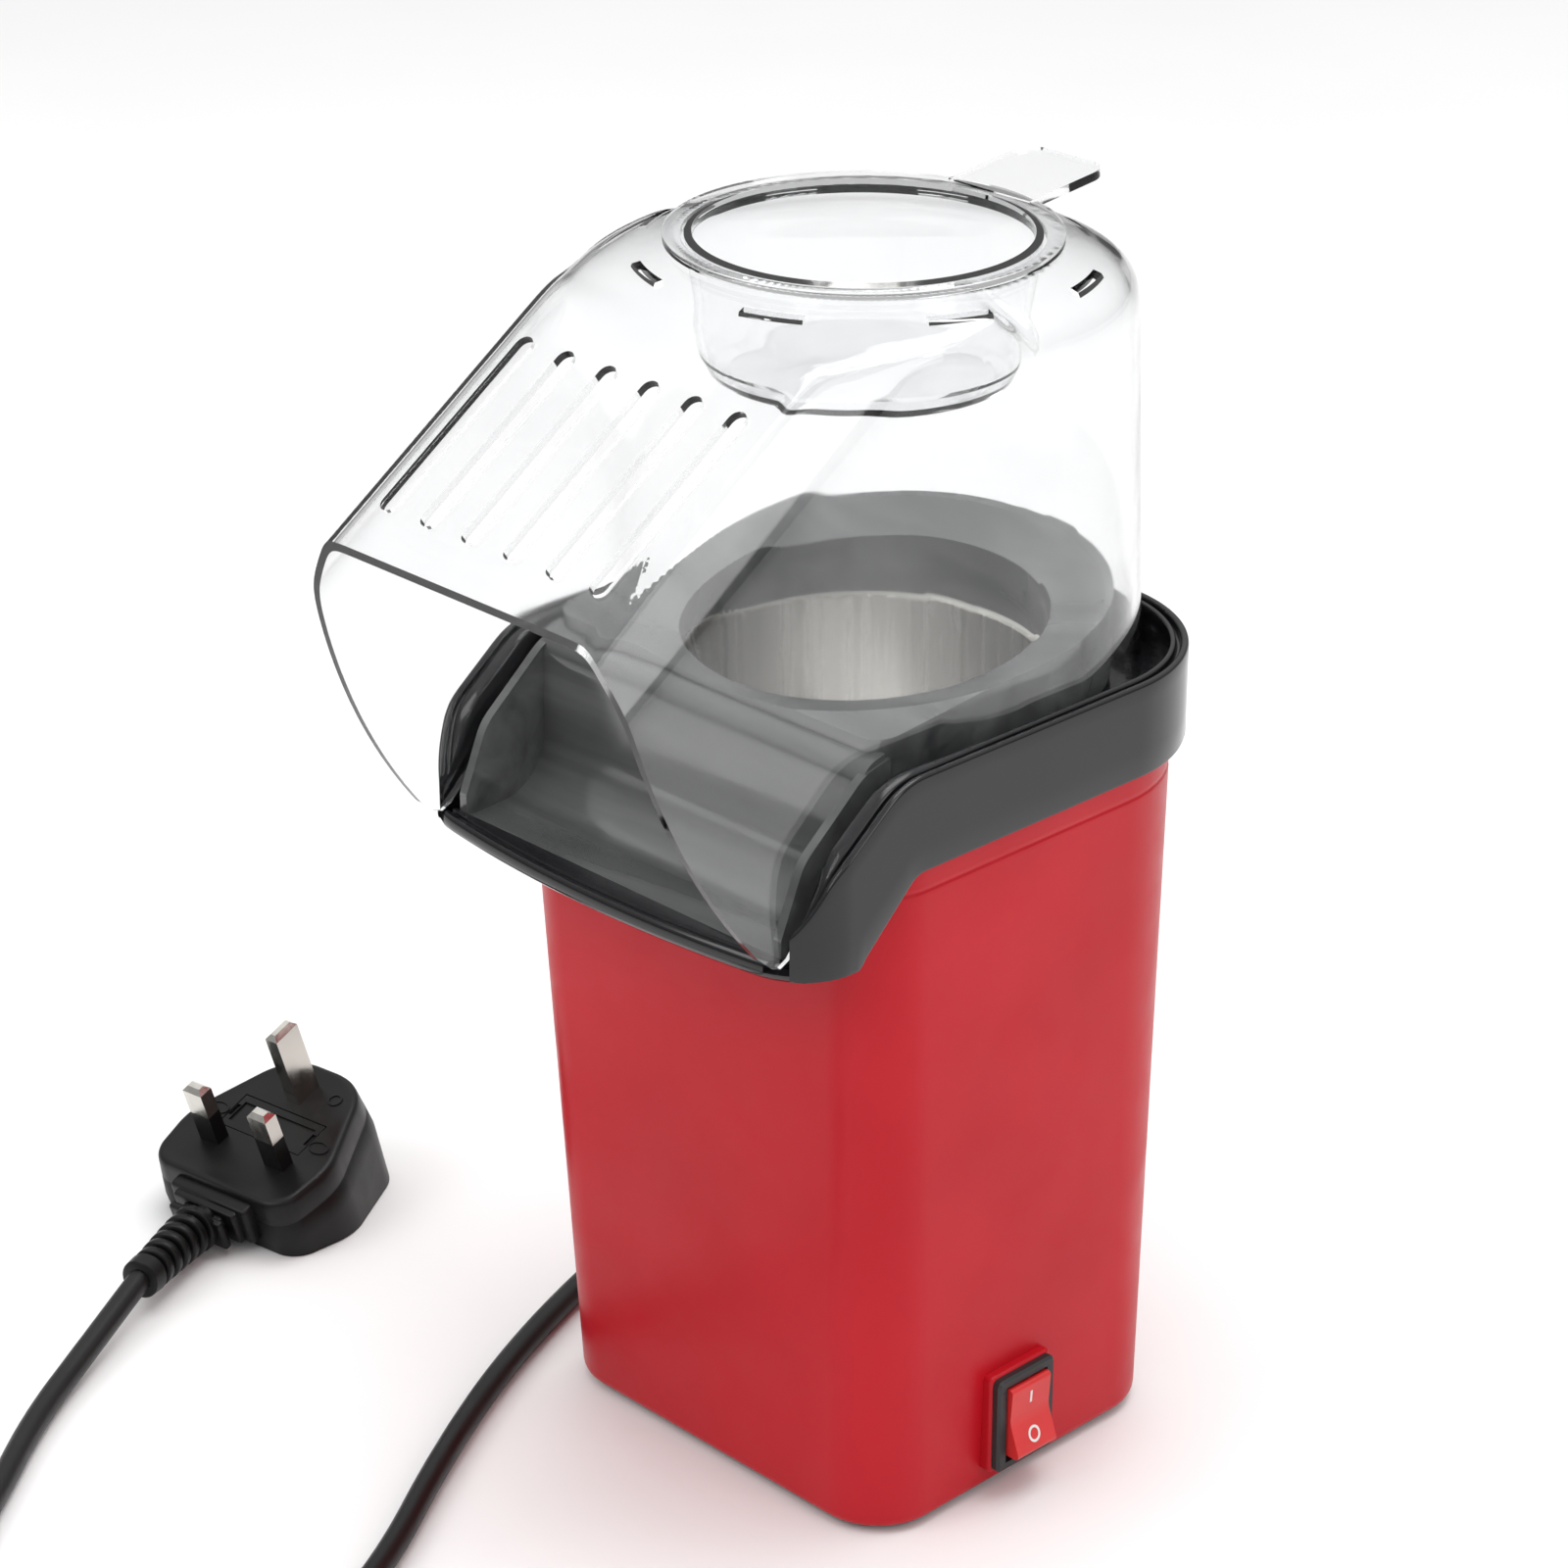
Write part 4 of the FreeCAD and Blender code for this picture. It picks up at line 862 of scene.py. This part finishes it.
# Control points of the relief's line, a cubic Bezier from inside the plug to the cord.
RELIEF_ROUTE = (
    Vector((-157.0, -70.6, 7.4)), Vector((-155.4, -82.0, 6.9)), Vector((-147.2, -93.5, 8.1)),
    Vector((-143.5, -103.5, 8.3)),
)
RELIEF_RIBS = 6
FIRST_RIB = 6.4
RIB_PITCH = 4.1
RIB_LONG = 2.5
RELIEF_AROUND = 36
# (low corner, high corner, radius) of the blocks between plug and relief, in the plug's own frame.
YOKE_STEPS = (
    ((-13.0, -24.0, -13.4), (13.0, -18.0, -2.2), 1.1),
    ((-10.4, -25.8, -12.6), (10.4, -22.0, -3.0), 0.8),
    ((-6.6, -27.6, -11.0), (6.6, -24.0, -4.6), 0.8),
    ((-8.8, -29.4, -12.2), (8.8, -27.2, -3.4), 0.8),
)


def on_plug(x, y, z):
    """A point of the plug's own frame, whose pins point along +Z, where the plug lies."""
    turn = Matrix.Rotation(PLUG_TURN, 3, "Z") @ Matrix.Rotation(PLUG_TILT, 3, "X")
    return tuple(turn @ Vector((x, y, z)) + PLUG_AT)


def plug_loop(grow, steps=12):
    """The plug's outline seen from its pins, rounded and grown by grow."""
    points = []
    count = len(PLUG_CORNERS)
    for i, (x, y, radius) in enumerate(PLUG_CORNERS):
        corner = Vector((x, y))
        corner += (corner - PLUG_OUTLINE_MIDDLE).normalized() * grow * 1.2
        before = Vector(PLUG_CORNERS[i - 1][:2])
        after = Vector(PLUG_CORNERS[(i + 1) % count][:2])
        back = (before - Vector((x, y))).normalized()
        ahead = (after - Vector((x, y))).normalized()
        half = back.angle(ahead) / 2
        reach = radius / math.tan(half)
        centre = corner + (back + ahead).normalized() * (radius / math.sin(half))
        first = corner + back * reach - centre
        last = corner + ahead * reach - centre
        turn = first.angle_signed(last)
        for k in range(steps + 1):
            points.append(centre + Matrix.Rotation(-turn * k / steps, 2) @ first)
    return points


def add_plug_body():
    """The plug's moulding, cut off at the floor, with the fuse cover's recess and raised outlines."""
    verts = []
    for depth, grow in PLUG_SECTIONS:
        verts += [on_plug(p.x, p.y, depth) for p in plug_loop(grow)]
    rows = len(PLUG_SECTIONS)
    count = len(verts) // rows
    body = mesh_object("plug_shell", verts, lofted(rows, count) + end_caps(rows, count))
    fix_normals(body)
    recess_verts, recess_faces = box_part((-14, -3.2, -1.6), (14, 8.2, 3))
    recess = [on_plug(*v) for v in recess_verts]
    cut_away(body, [(recess, recess_faces), box_part((-400, -400, -100), (0, 0, 0.02))])
    parts = []
    for x, y, half_x, half_y in PLUG_RINGS:
        ring = []
        for k in range(PLUG_RING_STEPS):
            angle = 2 * math.pi * k / PLUG_RING_STEPS
            c, sn = math.cos(angle), math.sin(angle)
            for grow, lift in PLUG_RING_SECTION:
                ring.append(on_plug(x + (half_x + grow) * c, y + (half_y + grow) * sn, lift))
        parts.append((ring, lofted(PLUG_RING_STEPS, 4, closed=True)))
    rings = mesh_object("plug_rings", *join_parts(parts))
    fix_normals(rings)
    plug = merge_pieces("plug_moulding", [body, rings])
    sharpen(plug, 40.0)
    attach(plug, "root")
    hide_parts("plug_body")
    return plug


def relief_profile():
    """(distance, radius) along the relief: separate tapering ribs, then an end collar."""
    profile = [(0.0, 4.2)]
    for k in range(RELIEF_RIBS):
        start = FIRST_RIB + k * RIB_PITCH
        end = start + RIB_LONG
        neck, rib = 4.1 - 0.06 * k, 6.2 - 0.22 * k
        profile += [(start - 0.05, neck), (start, rib - 0.35), (start + 0.35, rib)]
        profile += [(end - 0.35, rib), (end, rib - 0.35), (end + 0.05, neck)]
    start = FIRST_RIB + RELIEF_RIBS * RIB_PITCH
    profile += [(start - 0.05, 3.7), (start, 4.8), (start + 0.4, 5.2)]
    return profile + [(start + 4.4, 5.0), (start + 4.9, 4.4)]


def along_relief(t):
    """A point on the relief's line and the way it runs there."""
    a, b, c, d = RELIEF_ROUTE
    u = 1 - t
    place = a * u**3 + b * (3 * u * u * t) + c * (3 * u * t * t) + d * t**3
    way = (b - a) * u * u + (c - b) * (2 * u * t) + (d - c) * t * t
    return place, way.normalized()


def add_relief():
    """The ribbed strain relief, with the stepped blocks that join it to the plug."""
    verts = []
    profile = relief_profile()
    for distance, radius in profile:
        along, way = along_relief(distance / profile[-1][0])
        side = way.cross(Vector((0, 0, 1))).normalized()
        up = side.cross(way)
        for k in range(RELIEF_AROUND):
            angle = 2 * math.pi * k / RELIEF_AROUND
            verts.append(tuple(along + side * radius * math.cos(angle) + up * radius * math.sin(angle)))
    rows = len(profile)
    tube = mesh_object("relief_tube", verts, lofted(rows, RELIEF_AROUND) + end_caps(rows, RELIEF_AROUND))
    fix_normals(tube)
    blocks = [rounded_box(f"yoke_{k}", *step) for k, step in enumerate(YOKE_STEPS)]
    for block in blocks:
        for vertex in block.data.vertices:
            x, y, z = vertex.co / MM
            vertex.co = at(*on_plug(x, y - AXIS_Y, z))
    relief = merge_pieces("plug_strain_relief", [tube] + blocks)
    sharpen(relief, 45.0)
    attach(relief, "root")
    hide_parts("plug_relief")
    return relief


# ---------------------------------------------------------------- materials


class Finish:
    """A Principled material whose colour, roughness and bump come from procedural nodes."""

    def __init__(self, name, roughness=0.4, metallic=0.0, **sockets):
        self.material = bpy.data.materials.new(name)
        self.material.use_nodes = True
        self.tree = self.material.node_tree
        self.tree.nodes.clear()
        self.output = self.tree.nodes.new("ShaderNodeOutputMaterial")
        self.shader = self.tree.nodes.new("ShaderNodeBsdfPrincipled")
        self.shader.inputs["Roughness"].default_value = roughness
        self.shader.inputs["Metallic"].default_value = metallic
        for key, value in sockets.items():
            self.shader.inputs[key.replace("_", " ")].default_value = value
        self.tree.links.new(self.shader.outputs[0], self.output.inputs["Surface"])
        self.place = self.tree.nodes.new("ShaderNodeTexCoord").outputs["Object"]

    def link(self, source, target):
        self.tree.links.new(source, target)

    def stretched(self, scale):
        node = self.tree.nodes.new("ShaderNodeMapping")
        node.inputs["Scale"].default_value = scale
        self.link(self.place, node.inputs["Vector"])
        return node.outputs[0]

    def noise(self, scale, detail=3.0, place=None, distortion=0.0):
        node = self.tree.nodes.new("ShaderNodeTexNoise")
        node.inputs["Scale"].default_value = scale
        node.inputs["Detail"].default_value = detail
        node.inputs["Distortion"].default_value = distortion
        self.link(place or self.place, node.inputs["Vector"])
        return node.outputs["Fac"]

    def spread(self, source, low, high, start=0.3, end=0.7):
        """Maps a texture's start..end to low..high."""
        node = self.tree.nodes.new("ShaderNodeMapRange")
        node.inputs["From Min"].default_value = start
        node.inputs["From Max"].default_value = end
        node.inputs["To Min"].default_value = low
        node.inputs["To Max"].default_value = high
        self.link(source, node.inputs["Value"])
        return node.outputs[0]

    def colours(self, factor, first, second):
        node = self.tree.nodes.new("ShaderNodeMix")
        node.data_type = "RGBA"
        colour_inputs = [s for s in node.inputs if s.type == "RGBA"]
        colour_inputs[0].default_value = (*first, 1)
        colour_inputs[1].default_value = (*second, 1)
        self.link(factor, node.inputs["Factor"])
        return [s for s in node.outputs if s.type == "RGBA"][0]

    def set(self, name, source):
        self.link(source, self.shader.inputs[name])

    def bump(self, height, strength, distance_mm):
        node = self.tree.nodes.new("ShaderNodeBump")
        node.inputs["Strength"].default_value = strength
        node.inputs["Distance"].default_value = distance_mm * MM
        self.link(height, node.inputs["Height"])
        previous = self.shader.inputs["Normal"].links
        if previous:
            self.link(previous[0].from_socket, node.inputs["Normal"])
        self.link(node.outputs[0], self.shader.inputs["Normal"])


def plastic(name, dark, light, roughness, grain_scale, grain_mm, shine=0.5):
    """Moulded plastic: slow tone changes, handling smudges in the gloss and a fine grain."""
    finish = Finish(name, roughness, Specular_IOR_Level=shine)
    finish.set("Base Color", finish.colours(finish.spread(finish.noise(18, 4), 0, 1), dark, light))
    smudge = finish.noise(55, 5, distortion=0.6)
    finish.set("Roughness", finish.spread(smudge, roughness * 0.82, roughness * 1.22))
    finish.bump(finish.noise(grain_scale, 2), 0.35, grain_mm)
    return finish


def metal(name, dark, light, roughness, stretch, line_mm=0.01):
    """Metal with fine draw lines along the least stretched direction; where they stand upright, as on the
    spun aluminium, their lighter streaks are painted highlights.
    """
    finish = Finish(name, roughness, 1.0)
    draw_lines_and_sheen = finish.noise(1.0, 4, finish.stretched(stretch))
    finish.set("Base Color", finish.colours(finish.spread(draw_lines_and_sheen, 0, 1), dark, light))
    finish.set("Roughness", finish.spread(draw_lines_and_sheen, roughness * 0.75, roughness * 1.3))
    finish.bump(draw_lines_and_sheen, 0.12, line_mm)
    return finish


def glossy_tray(name):
    """Dark polished moulding whose colour carries lighter streaks across it: painted reflections of bright
    bands on the gloss.
    """
    finish = Finish(name, 0.1, Specular_IOR_Level=0.9)
    # The lighter streaks painted into the colour stand in for reflections of bright bands on the dark gloss.
    painted_reflection_streaks = finish.noise(1.0, 4, finish.stretched((9, 90, 70)), 0.4)
    tone = finish.spread(painted_reflection_streaks, 0, 1, 0.3, 0.8)
    finish.set("Base Color", finish.colours(tone, (0.035, 0.036, 0.036), (0.115, 0.117, 0.115)))
    finish.set("Roughness", finish.spread(finish.noise(60, 5, distortion=0.6), 0.08, 0.2))
    finish.bump(finish.noise(1.0, 2, finish.stretched((20, 70, 70))), 0.12, 0.1)
    return finish


def clear_plastic(name, bend=1.47):
    """Clear moulding: passes light straight on to what is behind it, with faint haze and ripples."""
    finish = Finish(name, 0.04, Transmission_Weight=1.0, IOR=bend)
    haze = finish.noise(30, 4)
    tone = finish.spread(haze, 0, 1)
    finish.set("Base Color", finish.colours(tone, (0.955, 0.96, 0.965), (0.985, 0.988, 0.99)))
    finish.set("Roughness", finish.spread(haze, 0.02, 0.06))
    finish.bump(finish.noise(38, 2), 0.2, 0.25)
    path = finish.tree.nodes.new("ShaderNodeLightPath")
    open_shader = finish.tree.nodes.new("ShaderNodeBsdfTransparent")
    open_shader.inputs["Color"].default_value = (0.93, 0.935, 0.94, 1)
    mix = finish.tree.nodes.new("ShaderNodeMixShader")
    finish.link(path.outputs["Is Shadow Ray"], mix.inputs[0])
    finish.link(finish.shader.outputs[0], mix.inputs[1])
    finish.link(open_shader.outputs[0], mix.inputs[2])
    finish.link(mix.outputs[0], finish.output.inputs["Surface"])
    return finish


# name: darker tone, lighter tone, roughness, grain scale, grain height in mm and, if not usual, shine
PLASTICS = {
    "red_shell": ((0.45, 0.005, 0.012), (0.52, 0.008, 0.017), 0.36, 900, 0.015, 0.22),
    "black_gloss": ((0.004, 0.004, 0.005), (0.008, 0.008, 0.009), 0.12, 300, 0.004),
    "black_matte": ((0.012, 0.012, 0.013), (0.026, 0.026, 0.028), 0.5, 2200, 0.05),
    "mica": ((0.50, 0.46, 0.36), (0.68, 0.63, 0.52), 0.45, 700, 0.08),
    "rubber_dark": ((0.012, 0.012, 0.012), (0.024, 0.024, 0.025), 0.62, 2600, 0.05),
    "silicone": ((0.62, 0.61, 0.57), (0.75, 0.74, 0.70), 0.55, 1200, 0.04),
    "white_plastic": ((0.70, 0.70, 0.67), (0.82, 0.82, 0.80), 0.42, 1500, 0.03),
    "switch_red": ((0.55, 0.015, 0.015), (0.70, 0.03, 0.03), 0.3, 1400, 0.02),
    "circuit_board": ((0.04, 0.17, 0.06), (0.07, 0.24, 0.10), 0.35, 800, 0.03),
    "copper_wire": ((0.26, 0.11, 0.05), (0.34, 0.15, 0.08), 0.4, 1500, 0.03),
    "blue_wire": ((0.03, 0.10, 0.36), (0.05, 0.15, 0.48), 0.4, 1500, 0.03),
    "cord_jacket": ((0.005, 0.005, 0.005), (0.011, 0.011, 0.011), 0.4, 2400, 0.03, 0.3),
    "plug_black": ((0.003, 0.003, 0.003), (0.007, 0.007, 0.007), 0.38, 1500, 0.03, 0.24),
}
# name: darker tone, lighter tone, roughness, stretch of the draw lines and, if not usual, their depth in mm
METALS = {
    # The spun aluminium's lines stand upright, so their lighter streaks are painted highlights down the
    # chamber's wall.
    "spun_aluminium": ((0.80, 0.79, 0.77), (0.95, 0.94, 0.92), 0.24, (420, 420, 3), 0.004),
    "steel": ((0.45, 0.45, 0.46), (0.62, 0.62, 0.63), 0.35, (900, 900, 60)),
    "heating_wire": ((0.30, 0.28, 0.26), (0.46, 0.42, 0.38), 0.45, (700, 700, 700)),
    "brass_pins": ((0.60, 0.58, 0.54), (0.70, 0.68, 0.63), 0.2, (300, 300, 60), 0.001),
    "bronze": ((0.42, 0.29, 0.13), (0.58, 0.42, 0.22), 0.4, (900, 900, 900)),
    "magnet": ((0.08, 0.08, 0.085), (0.14, 0.14, 0.15), 0.5, (600, 600, 600)),
}


def make_finishes():
    finishes = {name: plastic(name, *row) for name, row in PLASTICS.items()}
    finishes.update({name: metal(name, *row) for name, row in METALS.items()})
    finishes["clear_plastic"] = clear_plastic("clear_plastic")
    finishes["cup_clear"] = clear_plastic("cup_clear", 1.28)
    finishes["tray_gloss"] = glossy_tray("tray_gloss")
    return finishes


# CAD nodes whose look differs from that of their material slot.
OWN_FINISH = {
    "funnel_bowl": "tray_gloss",
    "chute": "tray_gloss",
    "measuring_cup": "cup_clear",
    "plug_pin_sleeves": "plug_black",
    "plug_fuse_cover": "plug_black",
}


def dress(finishes, pieces):
    """Gives every CAD node and every new piece the finish of its material slot."""
    slots = {row["node"]: row["material_slot"] for row in frame["record"]["subparts"]}
    for name, node in frame["nodes"].items():
        node.data.materials.clear()
        node.data.materials.append(finishes[OWN_FINISH.get(name, slots[name])].material)
    for piece, slot in pieces:
        piece.data.materials.clear()
        piece.data.materials.append(finishes[slot].material)


# ---------------------------------------------------------------- room

FLOOR_HALF = 20000
FLOOR_GAP_M = 0.0002
LIGHTS_AIM = Vector((0, 0, 0.15))
# name, place and size in metres, power in watts
LIGHTS = (
    ("key", (-0.45, -1.3, 1.2), (0.9, 0.9), 7),
    ("side", (1.4, 0.1, 0.9), (0.5, 1.0), 4),
    ("top", (0.1, 0.3, 1.7), (1.2, 1.2), 14),
)


def add_light(name, place, size, power):
    """A white panel light pointed at the machine's middle."""
    data = bpy.data.lights.new(name, "AREA")
    data.shape = "RECTANGLE"
    data.size, data.size_y = size
    data.energy = power
    light = bpy.data.objects.new(name, data)
    bpy.context.scene.collection.objects.link(light)
    light.location = place
    light.rotation_euler = (LIGHTS_AIM - Vector(place)).to_track_quat("-Z", "Y").to_euler()


def add_floor():
    corners = [(x * FLOOR_HALF, y * FLOOR_HALF, 0) for x, y in ((-1, -1), (1, -1), (1, 1), (-1, 1))]
    floor = mesh_object("floor", corners, [(0, 1, 2, 3)])
    floor.location.z = -FLOOR_GAP_M
    finish = Finish("floor_paint", 0.6)
    tone = finish.spread(finish.noise(3, 4), 0, 1)
    finish.set("Base Color", finish.colours(tone, (0.86, 0.86, 0.86), (0.9, 0.9, 0.9)))
    finish.bump(finish.noise(300, 3), 0.1, 0.05)
    floor.data.materials.append(finish.material)


def add_world():
    """White surroundings, dimmer near the horizon than overhead."""
    world = bpy.data.worlds.new("studio")
    world.use_nodes = True
    tree = world.node_tree
    place = tree.nodes.new("ShaderNodeTexCoord")
    split = tree.nodes.new("ShaderNodeSeparateXYZ")
    ramp = tree.nodes.new("ShaderNodeMapRange")
    ramp.inputs["From Min"].default_value = 0.05
    ramp.inputs["From Max"].default_value = 0.75
    ramp.inputs["To Min"].default_value = 0.22
    ramp.inputs["To Max"].default_value = 1.0
    tree.links.new(place.outputs["Generated"], split.inputs[0])
    tree.links.new(split.outputs["Z"], ramp.inputs["Value"])
    tree.links.new(ramp.outputs[0], tree.nodes["Background"].inputs["Strength"])
    tree.nodes["Background"].inputs["Color"].default_value = (1, 1, 1, 1)
    bpy.context.scene.world = world


def add_room():
    add_floor()
    add_world()
    for row in LIGHTS:
        add_light(*row)
    bpy.context.scene.view_settings.view_transform = "Standard"


# ---------------------------------------------------------------- the whole

add_camera()
cord, cord_line = add_cord()
pieces = [
    (cord, "cord_jacket"),
    (add_hood(), "clear_plastic"),
    (add_collar(), "black_gloss"),
    (add_lip(), "black_gloss"),
    (add_ledge(), "black_gloss"),
    (add_shell(), "red_shell"),
    (add_switch_marks(), "white_plastic"),
    (add_plug_body(), "plug_black"),
    (add_relief(), "plug_black"),
]
dress(make_finishes(), pieces)
add_room()
bpy.context.view_layer.update()
